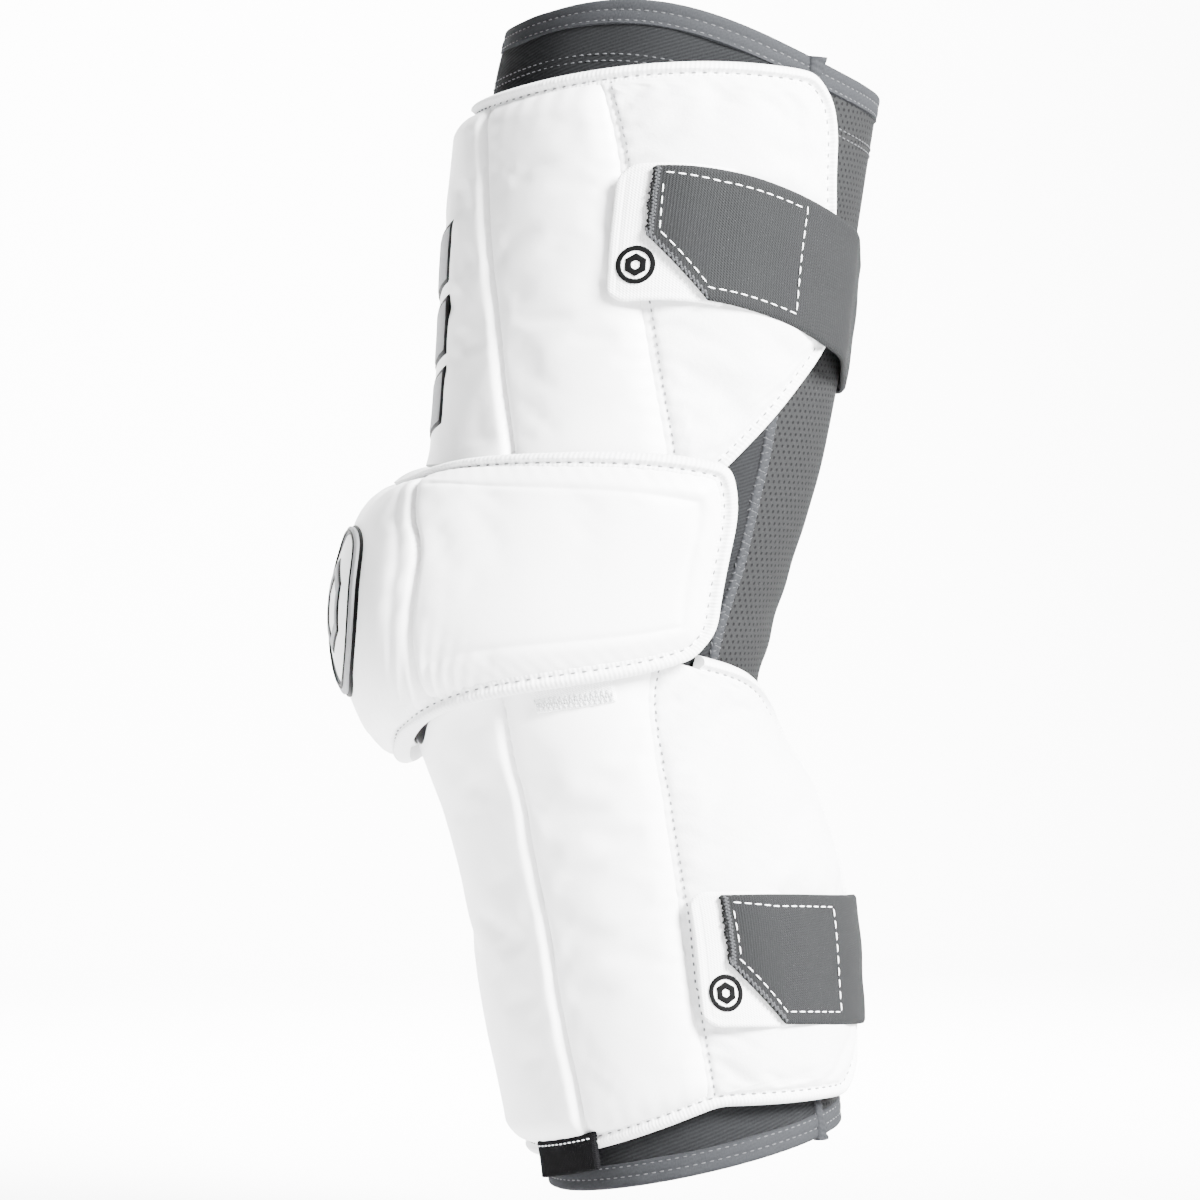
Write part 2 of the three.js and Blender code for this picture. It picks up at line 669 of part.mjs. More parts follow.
// A strap's lift: over its tab at the end, flat on the wing, then straight across from the wing's edge
// until it meets the sleeve.
function strapLift(strap, angle) {
  const fromBack = Math.abs(180 - angle);
  const radius = (ARM_DEPTH + ARM_WIDTH) / 4;
  const back = STRAP_BACK_LIFT + SLEEVE_WALL;
  const meet = Math.acos((radius + back) / (radius + strap.wing)) / degToRad(1);
  const bridge = fromBack - (180 - strap.edge - meet);
  const span = (radius + back) / Math.cos(degToRad(clamp(bridge, 0, meet))) - radius;
  const fromEnd = (angle - strap.start) * degree(0);
  const overTab = (TAB_THICKNESS + LAYER_GAP) * (1 - smoothstep(fromEnd, ...TAB_RAMP));
  const side = (SIDE_THICKNESS - WING_THICKNESS) * (1 - smoothstep(fromEnd, ...SIDE_RAMP));
  return (fromBack > 180 - strap.edge ? strap.wing : span) + overTab + side;
}

function strapPanel(strap) {
  const clipRun = CLIP_LENGTH / degree(0);
  return panel(strap.name, 'elastic', {
    columns: [0, 0.05, 0.1, 0.14, 0.19, ...even(16).slice(1).map((u) => lerp(0.19, 1, u))],
    rows: even(2),
    place: (u, v) => {
      const angle = lerp(strap.start, strap.end, u);
      const cut = CLIP_HEIGHT * Math.max(0, 1 - (angle - strap.start) / clipRun);
      const middle = strap.middle(angle);
      return { angle, z: lerp(middle - STRAP_WIDTH / 2 + cut, middle + STRAP_WIDTH / 2, v) };
    },
    under: (u) => strapLift(strap, lerp(strap.start, strap.end, u)),
    over: (u) => strapLift(strap, lerp(strap.start, strap.end, u)) + STRAP_THICKNESS,
  });
}

// A white tab under the end of a strap, with rounded corners at its free end.
function strapTab(strap) {
  const start = strap.start - TAB_REACH / degree(0);
  const length = TAB_LENGTH / degree(0);
  return panel(`${strap.name}_tab`, 'tab', {
    columns: [0, 0.06, 0.16, ...even(5).map((u) => lerp(0.28, 1, u))],
    rows: even(3),
    place: (u, v) => {
      const angle = lerp(start, start + length, u);
      const along = (angle - start) * degree(PAD_LIFT);
      const round = TAB_CORNER - Math.sqrt(TAB_CORNER ** 2 - Math.max(TAB_CORNER - along, 0) ** 2);
      const half = STRAP_WIDTH / 2 + 1 - round;
      return { angle, z: strap.middle(angle) + lerp(-half, half, v) };
    },
    under: (u) => {
      const angle = Math.max(lerp(start, start + length, u), strap.start);
      return strapLift(strap, angle) - TAB_THICKNESS - LAYER_GAP;
    },
    over: (u) => {
      const angle = Math.max(lerp(start, start + length, u), strap.start);
      return strapLift(strap, angle) - LAYER_GAP;
    },
  });
}

// A small sewn tab between the cap's lower rim and the forearm guard.
function capTab(name, side) {
  const far = CAP_TAB_START + CAP_TAB_LENGTH / degree(0);
  const from = side > 0 ? CAP_TAB_START : -far;
  const to = side > 0 ? far : -CAP_TAB_START;
  const lift = PAD_LIFT + SIDE_THICKNESS + LAYER_GAP;
  return panel(name, 'tab', {
    columns: even(3),
    rows: even(2),
    place: (u, v) => {
      const angle = lerp(from, to, u);
      return { angle, z: capBottom(angle) + CAP_TAB_HEIGHT * (v - 0.5) };
    },
    under: () => lift,
    over: () => lift + TAB_THICKNESS,
  });
}

// The folded label sewn over the bottom edge of the forearm guard.
function hemLabel() {
  const lift = PAD_LIFT + BINDING_THICKNESS + LAYER_GAP;
  return panel('hem_label', 'label', {
    columns: even(4),
    rows: even(2),
    place: (u, v) => {
      const angle = LABEL_START + (LABEL_WIDTH * u) / degree(0);
      return { angle, z: LOWER_GUARD.low(angle) + BINDING_WIDTH - LABEL_LENGTH * (1 - v) };
    },
    under: () => lift,
    over: () => lift + LABEL_THICKNESS,
  });
}

const parts = new THREE.Group();
parts.name = 'lacrosse_arm_pad';
parts.add(sleeve(), guard(UPPER_GUARD), guard(LOWER_GUARD), elbowCap(), badge(), ridgeBars());
parts.add(strapPanel(UPPER_STRAP), strapTab(UPPER_STRAP));
parts.add(strapPanel(LOWER_STRAP), strapTab(LOWER_STRAP), hemLabel());
parts.add(capTab('cap_tab_near', 1), capTab('cap_tab_far', -1));

export default parts;
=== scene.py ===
"""Lacrosse arm pad: sleeve, upper and forearm guards, elbow cap, badge, straps, label and stitching."""

import math
from collections import namedtuple

import bpy
import numpy as np
from bpy.props import FloatProperty, FloatVectorProperty, PointerProperty
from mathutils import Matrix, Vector


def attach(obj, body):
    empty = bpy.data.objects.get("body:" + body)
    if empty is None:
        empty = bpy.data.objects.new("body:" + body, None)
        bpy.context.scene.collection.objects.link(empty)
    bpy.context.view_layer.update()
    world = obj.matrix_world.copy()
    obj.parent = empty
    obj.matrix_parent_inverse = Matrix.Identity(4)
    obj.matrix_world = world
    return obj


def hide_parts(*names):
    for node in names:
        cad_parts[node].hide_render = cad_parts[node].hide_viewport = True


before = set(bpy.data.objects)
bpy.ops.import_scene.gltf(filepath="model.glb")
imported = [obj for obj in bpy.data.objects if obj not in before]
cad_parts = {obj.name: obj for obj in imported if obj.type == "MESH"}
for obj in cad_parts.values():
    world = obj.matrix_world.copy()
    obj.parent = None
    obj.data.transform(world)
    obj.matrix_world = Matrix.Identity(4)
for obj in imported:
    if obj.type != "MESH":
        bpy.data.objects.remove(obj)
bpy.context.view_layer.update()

bl_info = {
    "name": "Lacrosse Arm Pad",
    "version": (1, 0, 0),
    "blender": (4, 5, 0),
    "location": "View3D > Sidebar > Arm Pad",
    "description": "Builds the surfaces, stitching and materials of a padded arm guard",
    "category": "Add Mesh",
}

MM = 0.001

# Sizes in millimetres. A place on the arm is an angle in degrees, 0 at the front of the elbow and 90 on the
# side at -Y, and a height. A lift is the distance out from the arm's surface.
SLEEVE_LENGTH = 400.0
ARM_DEPTH = 124.0
ARM_WIDTH = 110.0
SLEEVE_WALL = 1.2
HEM_HEIGHT = 8.5
PAD_LIFT = 2.2
WING_FLARE = 1.2
BINDING_WIDTH = 6.2
TUCK = 1.6
SIDES = ((1, "near"), (-1, "far"))
RADIUS = (ARM_DEPTH + ARM_WIDTH) / 4
DEGREE = RADIUS * math.pi / 180

# Stitches as pitch, length and thickness. Those of two sizes take their pitch from the scene's settings.
TAPE_STITCH = (3.7, 1.6, 0.6)
BOX_STITCH = (3.9, 2.7, 0.5)
CUT_STITCH = (0.9, 1.2, 0.75)
TACK_STITCH = (1.3, 1.4, 0.75)
LABEL_STITCH = (2.1, 1.3, 0.5)
OVERLOCK_STITCH = (1.5, 1.6, 0.45)
HEM_STITCH = (1.7, 0.5)
SLEEVE_STITCH = (1.6, 0.45)
PANEL_STITCH = (1.3, 0.7)
ANCHOR_STITCH = (1.9, 0.55)

# How foam fills its cover: the cloth grid's spacing, the pressure, the slack and the most that it swells.
Filling = namedtuple("Filling", "spacing pressure slack cap")
THICK_FOAM = Filling(3.4, 4.0, 0.012, 0.9)
THIN_FOAM = Filling(2.6, 5.0, 0.035, 1.8)
PUFF_FRAMES = 20
PIN_LEVELS = 10

Section = namedtuple("Section", "at front back width")
ARM_SECTIONS = [Section(*row) for row in (
    (-0.5, 0.115, 0.656, 0.85),
    (-0.42, 0.15, 0.641, 0.87),
    (-0.335, 0.206, 0.624, 0.88),
    (-0.25, 0.249, 0.602, 0.89),
    (-0.17, 0.312, 0.526, 0.9),
    (-0.125, 0.37, 0.444, 0.9),
    (-0.085, 0.43, 0.41, 0.91),
    (-0.04, 0.505, 0.444, 0.93),
    (0.0, 0.515, 0.481, 0.945),
    (0.04, 0.462, 0.523, 0.955),
    (0.08, 0.395, 0.566, 0.955),
    (0.125, 0.35, 0.604, 0.963),
    (0.21, 0.327, 0.656, 0.98),
    (0.29, 0.315, 0.685, 1.0),
    (0.375, 0.288, 0.728, 1.018),
    (0.43, 0.275, 0.755, 1.02),
    (0.5, 0.215, 0.8, 1.03),
)]

Seam = namedtuple("Seam", "at seam")
SEAM_LINE = [Seam(*row) for row in (
    (-0.5, 139), (-0.42, 136.5), (-0.25, 131), (-0.05, 125), (0.03, 126.5), (0.11, 122), (0.5, 120),
)]

Border = namedtuple("Border", "at ridge side wing")
UPPER_BORDERS = [Border(*row) for row in (
    (0, 43, 89, 104),
    (0.2, 35.5, 81, 123),
    (0.39, 30.5, 75, 137),
    (0.57, 25.7, 70.2, 134),
    (0.76, 20.4, 64.5, 129.5),
    (0.93, 16.3, 58.4, 125),
    (1, 14.8, 55.2, 117),
)]
LOWER_BORDERS = [Border(*row) for row in (
    (0, 43.5, 87.2, 146),
    (0.07, 43, 87.2, 160),
    (0.18, 42.4, 86.7, 165),
    (0.42, 41, 84.8, 165),
    (0.66, 41.1, 87.8, 165),
    (0.82, 46, 95.2, 160),
    (0.92, 50.2, 98.2, 149),
    (0.97, 52, 99.7, 135),
    (1, 53, 100.7, 116),
)]

CapBorder = namedtuple("CapBorder", "at groove reach")
CAP_BORDERS = [CapBorder(*row) for row in (
    (0.0, 38, 109),
    (0.1, 35.5, 114),
    (0.28, 36, 114),
    (0.5, 35.5, 112),
    (0.72, 27.5, 110),
    (0.9, 22, 106.5),
    (1.0, 21, 103),
)]


def read(table, column, at):
    """A table's column between its rows: a cubic through each row with the slope of its two neighbours."""
    places = np.array([row.at for row in table], float)
    values = np.array([getattr(row, column) for row in table], float)
    slopes = np.empty_like(values)
    slopes[1:-1] = (values[2:] - values[:-2]) / (places[2:] - places[:-2])
    slopes[0] = (values[1] - values[0]) / (places[1] - places[0])
    slopes[-1] = (values[-1] - values[-2]) / (places[-1] - places[-2])
    at = np.clip(at, places[0], places[-1])
    row = np.clip(np.searchsorted(places, at, side="left") - 1, 0, len(places) - 2)
    span = places[row + 1] - places[row]
    t = (at - places[row]) / span
    rise = values[row + 1] - values[row]
    a = slopes[row] * span - rise
    b = rise - slopes[row + 1] * span
    return values[row] + rise * t + t * (1 - t) * (a * (1 - t) + b * t)


def skin(angle, z):
    """A point of the arm: an ellipse at each height, from the front and back depth and the width there."""
    at = z / SLEEVE_LENGTH
    front = read(ARM_SECTIONS, "front", at) * ARM_DEPTH
    back = read(ARM_SECTIONS, "back", at) * ARM_DEPTH
    width = read(ARM_SECTIONS, "width", at) * ARM_WIDTH
    turn = np.radians(angle)
    x = (back - front) / 2 - (back + front) / 2 * np.cos(turn)
    return np.stack([x, -width / 2 * np.sin(turn), z + 0 * x], -1)


def lifted(angle, z, lift):
    """The arm's point moved out by the lift along the normal, the cross product of its two slopes."""
    angle, z, lift = np.broadcast_arrays(
        np.asarray(angle, float), np.asarray(z, float), np.asarray(lift, float)
    )
    around = skin(angle + 1, z) - skin(angle - 1, z)
    along = skin(angle, z + 1) - skin(angle, z - 1)
    normal = np.cross(around, along)
    normal /= np.linalg.norm(normal, axis=-1, keepdims=True)
    return skin(angle, z) + normal * lift[..., None]


def smooth(low, high, value):
    """0 below low, 1 above high and a smooth step between them."""
    t = np.clip((value - low) / (high - low), 0, 1)
    return t * t * (3 - 2 * t)


def roll(distance, radius):
    """A quarter round: 0 at an edge, rising like a circle to 1 at the radius."""
    t = 1 - np.clip(distance / radius, 0, 1)
    return np.sqrt(np.clip(1 - t * t, 0, 1))


def channel(distance, width):
    """1 on a line, falling away to both sides like a bell of the given width."""
    return np.exp(-np.abs(distance / width) ** 1.6)


def zigzag(run, count):
    """A line that falls from 1 to 0 and rises again a number of times on the way from 0 to 1."""
    return np.abs((run * count) % 1 - 0.5) * 2


def waves(angle, z, scale, seed):
    """Soft unevenness from -1 to 1: a sum of eight sine waves whose directions and phases a seed gives."""
    draw = np.random.default_rng(seed)
    x = angle * DEGREE
    total = 0
    for _ in range(8):
        heading = draw.uniform(0, 2 * math.pi)
        length = scale * draw.uniform(0.6, 1.6)
        phase = draw.uniform(0, 2 * math.pi)
        total = total + np.sin(2 * math.pi * (x * math.cos(heading) + z * math.sin(heading)) / length + phase)
    return total / 8


def top_rim(angle):
    """Height of the sleeve's top rim: three cosines of the angle."""
    turn = np.radians(angle)
    share = 0.451 + 0.033 * np.cos(turn) + 0.02 * np.sin(turn) ** 2 - 0.006 * np.cos(3 * turn)
    return SLEEVE_LENGTH * share


def bottom_rim(angle):
    """Height of the sleeve's bottom rim: lower in front than at the back."""
    return SLEEVE_LENGTH * (-0.465 - 0.0265 * np.cos(np.radians(angle)))


def seam_angle(z):
    """The seam's angle at a height."""
    return read(SEAM_LINE, "seam", z / SLEEVE_LENGTH)


# Finishes.

# The scale of a Wave texture at which one step of its place holds one wave.
WAVE_STEP = 0.314
CLOTH_SPECULAR = 0.03
THREAD_SPECULAR = 0.25
RUBBER_SPECULAR = 0.06


def linear(text):
    """An sRGB hex colour as linear red, green, blue and alpha."""
    values = [int(text[i:i + 2], 16) / 255 for i in (1, 3, 5)]
    return [v / 12.92 if v <= 0.04045 else ((v + 0.055) / 1.055) ** 2.4 for v in values] + [1.0]


def add(tree, kind, inputs=None, **settings):
    """Adds one node to a tree, sets its settings, and links or sets its inputs."""
    node = tree.nodes.new(kind)
    for key, value in settings.items():
        setattr(node, key, value)
    for key, value in (inputs or {}).items():
        if isinstance(value, bpy.types.NodeSocket):
            tree.links.new(value, node.inputs[key])
        else:
            node.inputs[key].default_value = value
    return node


def start(name):
    """A new material with an empty tree, a shader and its output."""
    material = bpy.data.materials.new(name)
    material.use_nodes = True
    tree = material.node_tree
    tree.nodes.clear()
    shader = add(tree, "ShaderNodeBsdfPrincipled")
    add(tree, "ShaderNodeOutputMaterial", {"Surface": shader.outputs[0]})
    return material, tree, shader


def math_node(tree, operation, first, second=0.0, third=0.0):
    """One Math node's result."""
    return add(tree, "ShaderNodeMath", {0: first, 1: second, 2: third}, operation=operation).outputs[0]


def cloth_place(tree, across, along, turn=0.0):
    """The piece's own UV map, whose unit is 1 mm, scaled so that one pattern step is 1."""
    place = add(tree, "ShaderNodeUVMap", uv_map="mm").outputs[0]
    return add(tree, "ShaderNodeMapping", {
        "Vector": place, "Scale": (1 / across, 1 / along, 1), "Rotation": (0, 0, turn),
    }).outputs[0]


def noise(tree, place, scale, detail):
    """A Noise texture's strength."""
    return add(tree, "ShaderNodeTexNoise", {"Vector": place, "Scale": scale, "Detail": detail}).outputs[0]


def wave(tree, place, distortion, direction="X"):
    """The strength of a Wave texture whose bands lie one step apart."""
    inputs = {"Vector": place, "Scale": WAVE_STEP, "Distortion": distortion}
    return add(tree, "ShaderNodeTexWave", inputs, bands_direction=direction).outputs[1]


def mixed(tree, share, low, high):
    """A colour between two hex colours."""
    node = add(tree, "ShaderNodeMix", {"Factor": share}, data_type="RGBA")
    node.inputs[6].default_value = linear(low)
    node.inputs[7].default_value = linear(high)
    return node.outputs[2]


def paint(tree, shader, share, low, high, roughness, specular=0.5):
    """Gives a shader a colour between two hex colours, a roughness and a specular level."""
    tree.links.new(mixed(tree, share, low, high), shader.inputs["Base Color"])
    shader.inputs["Roughness"].default_value = roughness
    shader.inputs["Specular IOR Level"].default_value = specular


def bumped(tree, shader, height, distance, strength=1.0, normal=None):
    """Bump on a shader, with its depth in millimetres."""
    inputs = {"Height": height, "Distance": distance * MM, "Strength": strength}
    if normal is not None:
        inputs["Normal"] = normal
    node = add(tree, "ShaderNodeBump", inputs)
    tree.links.new(node.outputs[0], shader.inputs["Normal"])
    return node.outputs[0]


def coated_shell(name, light, dark):
    """Polyurethane-coated synthetic leather: a smooth white skin with a very fine grain and soft gloss."""
    material, tree, shader = start(name)
    place = add(tree, "ShaderNodeTexCoord").outputs["Object"]
    cloud = noise(tree, place, 18.0, 3.0)
    grain = add(tree, "ShaderNodeTexVoronoi", {"Vector": place, "Scale": 1 / (0.9 * MM)})
    fine = noise(tree, place, 1 / (2.5 * MM), 2.0)
    paint(tree, shader, math_node(tree, "MULTIPLY", cloud, 0.5), light, dark, 0.5)
    rough = math_node(tree, "MULTIPLY_ADD", fine, 0.12, 0.4)
    tree.links.new(rough, shader.inputs["Roughness"])
    shader.inputs["IOR"].default_value = 1.45
    first = bumped(tree, shader, grain.outputs["Distance"], 0.03, 0.35)
    bumped(tree, shader, fine, 0.12, 0.35, first)
    return material


def brushed_jersey(name, light, dark):
    """Brushed loop jersey: a matt, slightly fuzzy knit with columns 1 mm apart."""
    material, tree, shader = start(name)
    place = cloth_place(tree, 1.0, 1.3)
    loops = add(tree, "ShaderNodeTexNoise", {"Vector": place, "Scale": 1.0, "Detail": 3.0, "Roughness": 0.7})
    cloud = noise(tree, add(tree, "ShaderNodeTexCoord").outputs["Object"], 40.0, 4.0)
    share = math_node(tree, "MULTIPLY_ADD", loops.outputs[0], 0.6, -0.1)
    share = math_node(tree, "MULTIPLY_ADD", cloud, 0.4, share)
    paint(tree, shader, share, light, dark, 0.95)
    shader.inputs["Sheen Weight"].default_value = 0.35
    shader.inputs["Sheen Roughness"].default_value = 0.5
    bumped(tree, shader, loops.outputs[0], 0.25, 0.7)
    return material


def ribbed_binding(name, light, dark):
    """Stretch binding tape: fine ribs across the tape, 1.3 mm apart, which show as soft lines."""
    material, tree, shader = start(name)
    place = cloth_place(tree, 1.3, 1.3)
    ribs = wave(tree, place, 0.6)
    fine = noise(tree, place, 2.0, 2.0)
    paint(tree, shader, math_node(tree, "MULTIPLY_ADD", ribs, -0.3, 0.45), light, dark, 0.8)
    shader.inputs["Sheen Weight"].default_value = 0.2
    height = math_node(tree, "MULTIPLY_ADD", fine, 0.4, ribs)
    bumped(tree, shader, height, 0.2, 0.55)
    return material


def diagonal_knit(name, light, dark, relief=0.3):
    """Stretch knit: fine diagonal ribs 1.2 mm apart with a speckle of lighter yarn."""
    material, tree, shader = start(name)
    place = cloth_place(tree, 1.2, 1.2, math.radians(72))
    yarn = noise(tree, cloth_place(tree, 0.5, 0.9), 1.0, 2.0)
    ribbed = math_node(tree, "MULTIPLY", wave(tree, place, 0.8), relief)
    share = math_node(tree, "ADD", ribbed, math_node(tree, "MULTIPLY", yarn, 0.65))
    paint(tree, shader, share, dark, light, 0.95, CLOTH_SPECULAR)
    height = math_node(tree, "ADD", math_node(tree, "MULTIPLY", ribbed, 2.0), yarn)
    bumped(tree, shader, height, 0.22, 0.6)
    return material


def perforated_knit(name, light, dark):
    """Perforated stretch knit: round holes 1 mm across, 2.8 mm apart, in staggered rows 1.95 mm apart."""
    material, tree, shader = start(name)
    hole_steps = (2.8, 3.9)
    parts = add(tree, "ShaderNodeSeparateXYZ", {"Vector": cloth_place(tree, *hole_steps)})
    holes = None
    for shift in (0.0, 0.5):
        squares = []
        for place, step in zip(parts.outputs, hole_steps):
            share = math_node(tree, "FRACT", math_node(tree, "ADD", place, shift))
            way = math_node(tree, "MULTIPLY", math_node(tree, "SUBTRACT", share, 0.5), step)
            squares.append(math_node(tree, "MULTIPLY", way, way))
        distance = math_node(tree, "SQRT", math_node(tree, "ADD", *squares))
        hole = add(tree, "ShaderNodeMapRange", {
            "Value": distance, "From Min": 0.38, "From Max": 0.62, "To Min": 1.0, "To Max": 0.0,
        }).outputs[0]
        holes = hole if holes is None else math_node(tree, "MAXIMUM", holes, hole)
    yarn = noise(tree, cloth_place(tree, 0.5, 0.8), 1.0, 2.0)
    body = mixed(tree, yarn, light, dark)
    node = add(tree, "ShaderNodeMix", {"Factor": math_node(tree, "MULTIPLY", holes, 0.75)}, data_type="RGBA")
    tree.links.new(body, node.inputs[6])
    node.inputs[7].default_value = linear("#0E0E0F")
    tree.links.new(node.outputs[2], shader.inputs["Base Color"])
    shader.inputs["Roughness"].default_value = 0.95
    shader.inputs["Specular IOR Level"].default_value = CLOTH_SPECULAR
    height = math_node(tree, "MULTIPLY_ADD", holes, -1.5, math_node(tree, "MULTIPLY", yarn, 0.3))
    bumped(tree, shader, height, 0.25, 0.8)
    return material


def woven_elastic(name, light, dark, step=0.95, depth=0.25):
    """Woven elastic webbing: a twill of ridges across the band, one step apart, crossed by its warp."""
    material, tree, shader = start(name)
    place = cloth_place(tree, step, step)
    twill = wave(tree, place, 0.4)
    warp = wave(tree, cloth_place(tree, step * 0.7, step * 0.7, math.radians(38)), 0.6, "Y")
    fuzz = noise(tree, place, 2.5, 3.0)
    height = math_node(tree, "ADD", twill, warp)
    share = math_node(tree, "MULTIPLY_ADD", height, 0.3, math_node(tree, "MULTIPLY", fuzz, 0.4))
    paint(tree, shader, share, dark, light, 0.92, CLOTH_SPECULAR)
    bumped(tree, shader, height, depth, 0.7)
    return material


def thread(name, colour):
    """Polyester sewing thread: a twisted yarn with a slight shine."""
    material, tree, shader = start(name)
    place = add(tree, "ShaderNodeTexCoord").outputs["Object"]
    twist = noise(tree, place, 1 / (0.6 * MM), 1.0)
    shader.inputs["Base Color"].default_value = linear(colour)
    shader.inputs["Roughness"].default_value = 0.7
    shader.inputs["Specular IOR Level"].default_value = THREAD_SPECULAR
    bumped(tree, shader, twist, 0.05, 0.5)
    return material


def moulded_rubber(name, light, dark):
    """Moulded soft rubber: an even, slightly dull skin with a trace of fine texture."""
    material, tree, shader = start(name)
    place = add(tree, "ShaderNodeTexCoord").outputs["Object"]
    speck = noise(tree, place, 1 / (0.8 * MM), 2.0)
    paint(tree, shader, speck, light, dark, 0.6, RUBBER_SPECULAR)
    bumped(tree, shader, speck, 0.04, 0.4)
    return material


FINISHES = {}


def finish(key):
    """The material of a finish, made once from the colours in the scene's settings."""
    if key not in FINISHES:
        colours = bpy.context.scene.arm_pad_colours
        hexes = {name: hex_of(getattr(colours, name)) for name in ("white", "knit", "mesh", "elastic")}
        makers = {
            "shell": lambda: coated_shell("PU coated shell white", hexes["white"], "#E9E9EA"),
            "jersey": lambda: brushed_jersey("Brushed jersey white", "#F4F4F4", "#D6D7D9"),
            "binding": lambda: ribbed_binding("Ribbed binding white", "#F3F3F3", "#CFD0D2"),
            "knit": lambda: diagonal_knit("Stretch knit dark grey", "#232425", hexes["knit"]),
            "mesh": lambda: perforated_knit("Perforated knit grey", hexes["mesh"], "#1A1B1C"),
            "band": lambda: diagonal_knit("Folded hem grey", "#343537", "#222325", 0.06),
            "elastic": lambda: woven_elastic("Woven elastic grey", "#292A2B", hexes["elastic"]),
            "tab": lambda: woven_elastic("Hook tape white", "#F7F7F7", "#E2E3E4", 0.9, 0.1),
            "label": lambda: woven_elastic("Woven label black", "#131314", "#060607", 0.8),
            "thread_light": lambda: thread("Thread pale", "#E4E5E6"),
            "thread_grey": lambda: thread("Thread grey", "#6A6B6D"),
            # The tack thread's light grey is painted shade: it stands in for the shading over the sewn tab's
            # raised white zigzag.
            "thread_tack_painted_shade": lambda: thread("Thread grey as painted shade", "#BFC0C1"),
            "thread_seam": lambda: thread("Thread seam grey", "#353638"),
            "thread_hem": lambda: thread("Thread mid grey", "#434446"),
            "rubber_black": lambda: moulded_rubber("Moulded rubber black", "#060607", "#030303"),
            "rubber_grey": lambda: moulded_rubber("Moulded rubber grey", "#8A8B8D", "#7C7D7F"),
            "rubber_white": lambda: moulded_rubber("Moulded rubber white", "#F2F2F2", "#E4E4E5"),
        }
        FINISHES[key] = makers[key]()
    return FINISHES[key]


def hex_of(colour):
    """A colour setting as sRGB hex text."""
    return "#" + "".join(f"{round(255 * max(0.0, min(1.0, c))):02X}" for c in colour[:3])


# Meshes.


def make(name, key, points, faces, uv=None, sharp=55.0):
    """A mesh object from points in millimetres, faces and one UV pair a point, riding on the root body."""
    mesh = bpy.data.meshes.new(name)
    mesh.from_pydata(np.asarray(points) * MM, [], faces)
    mesh.polygons.foreach_set("use_smooth", [True] * len(mesh.polygons))
    if uv is not None:
        layer = mesh.uv_layers.new(name="mm")
        corners = np.empty(len(mesh.loops), np.int32)
        mesh.loops.foreach_get("vertex_index", corners)
        layer.data.foreach_set("uv", np.asarray(uv)[corners].astype(np.float32).ravel())
    mesh.set_sharp_from_angle(angle=math.radians(sharp))
    mesh.validate()
    mesh.update()
    piece = bpy.data.objects.new(name, mesh)
    bpy.context.scene.collection.objects.link(piece)
    mesh.materials.append(finish(key))
    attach(piece, "root")
    return piece


def quads(a, b, c, d):
    """Faces from four arrays of corner numbers."""
    return np.stack([a, b, c, d], -1).reshape(-1, 4)


def shell(name, key, angle, z, over, under, ring=False, uv=None):
    """A closed wall: an outer and an inner grid of the same places at two lifts, joined along their rims.

    The grids run round the arm first and along it second; a ring joins its last column to its first.
    """
    angle, z, over, under = np.broadcast_arrays(angle, z, over, under)
    columns, rows = angle.shape
    points = np.concatenate([lifted(angle, z, over).reshape(-1, 3), lifted(angle, z, under).reshape(-1, 3)])
    number = np.arange(columns * rows).reshape(columns, rows)
    if ring:
        number = np.concatenate([number, number[:1]])
    inner = number + columns * rows
    faces = [
        quads(number[:-1, :-1], number[1:, :-1], number[1:, 1:], number[:-1, 1:]),
        quads(inner[:-1, :-1], inner[:-1, 1:], inner[1:, 1:], inner[1:, :-1]),
        quads(inner[:-1, 0], inner[1:, 0], number[1:, 0], number[:-1, 0]),
        quads(number[:-1, -1], number[1:, -1], inner[1:, -1], inner[:-1, -1]),
    ]
    if not ring:
        faces.append(quads(inner[0, :-1], number[0, :-1], number[0, 1:], inner[0, 1:]))
        faces.append(quads(number[-1, :-1], inner[-1, :-1], inner[-1, 1:], number[-1, 1:]))
    faces = np.concatenate(faces)
    a, b, c = points[faces[:, 0]], points[faces[:, 1]], points[faces[:, 2]]
    d = points[faces[:, 3]]
    volume = (a * np.cross(b, c)).sum() + (a * np.cross(c, d)).sum()
    if volume < 0:
        faces = faces[:, ::-1]
    if uv is None:
        uv = np.stack([angle * DEGREE, z], -1)
    uv = np.broadcast_to(uv, angle.shape + (2,)).reshape(-1, 2)
    return make(name, key, points, faces.tolist(), np.concatenate([uv, uv]))


def grid(columns, rows):
    """Shares 0 to 1 along both ways of a grid, as two arrays."""
    return np.meshgrid(np.linspace(0, 1, columns), np.linspace(0, 1, rows), indexing="ij")


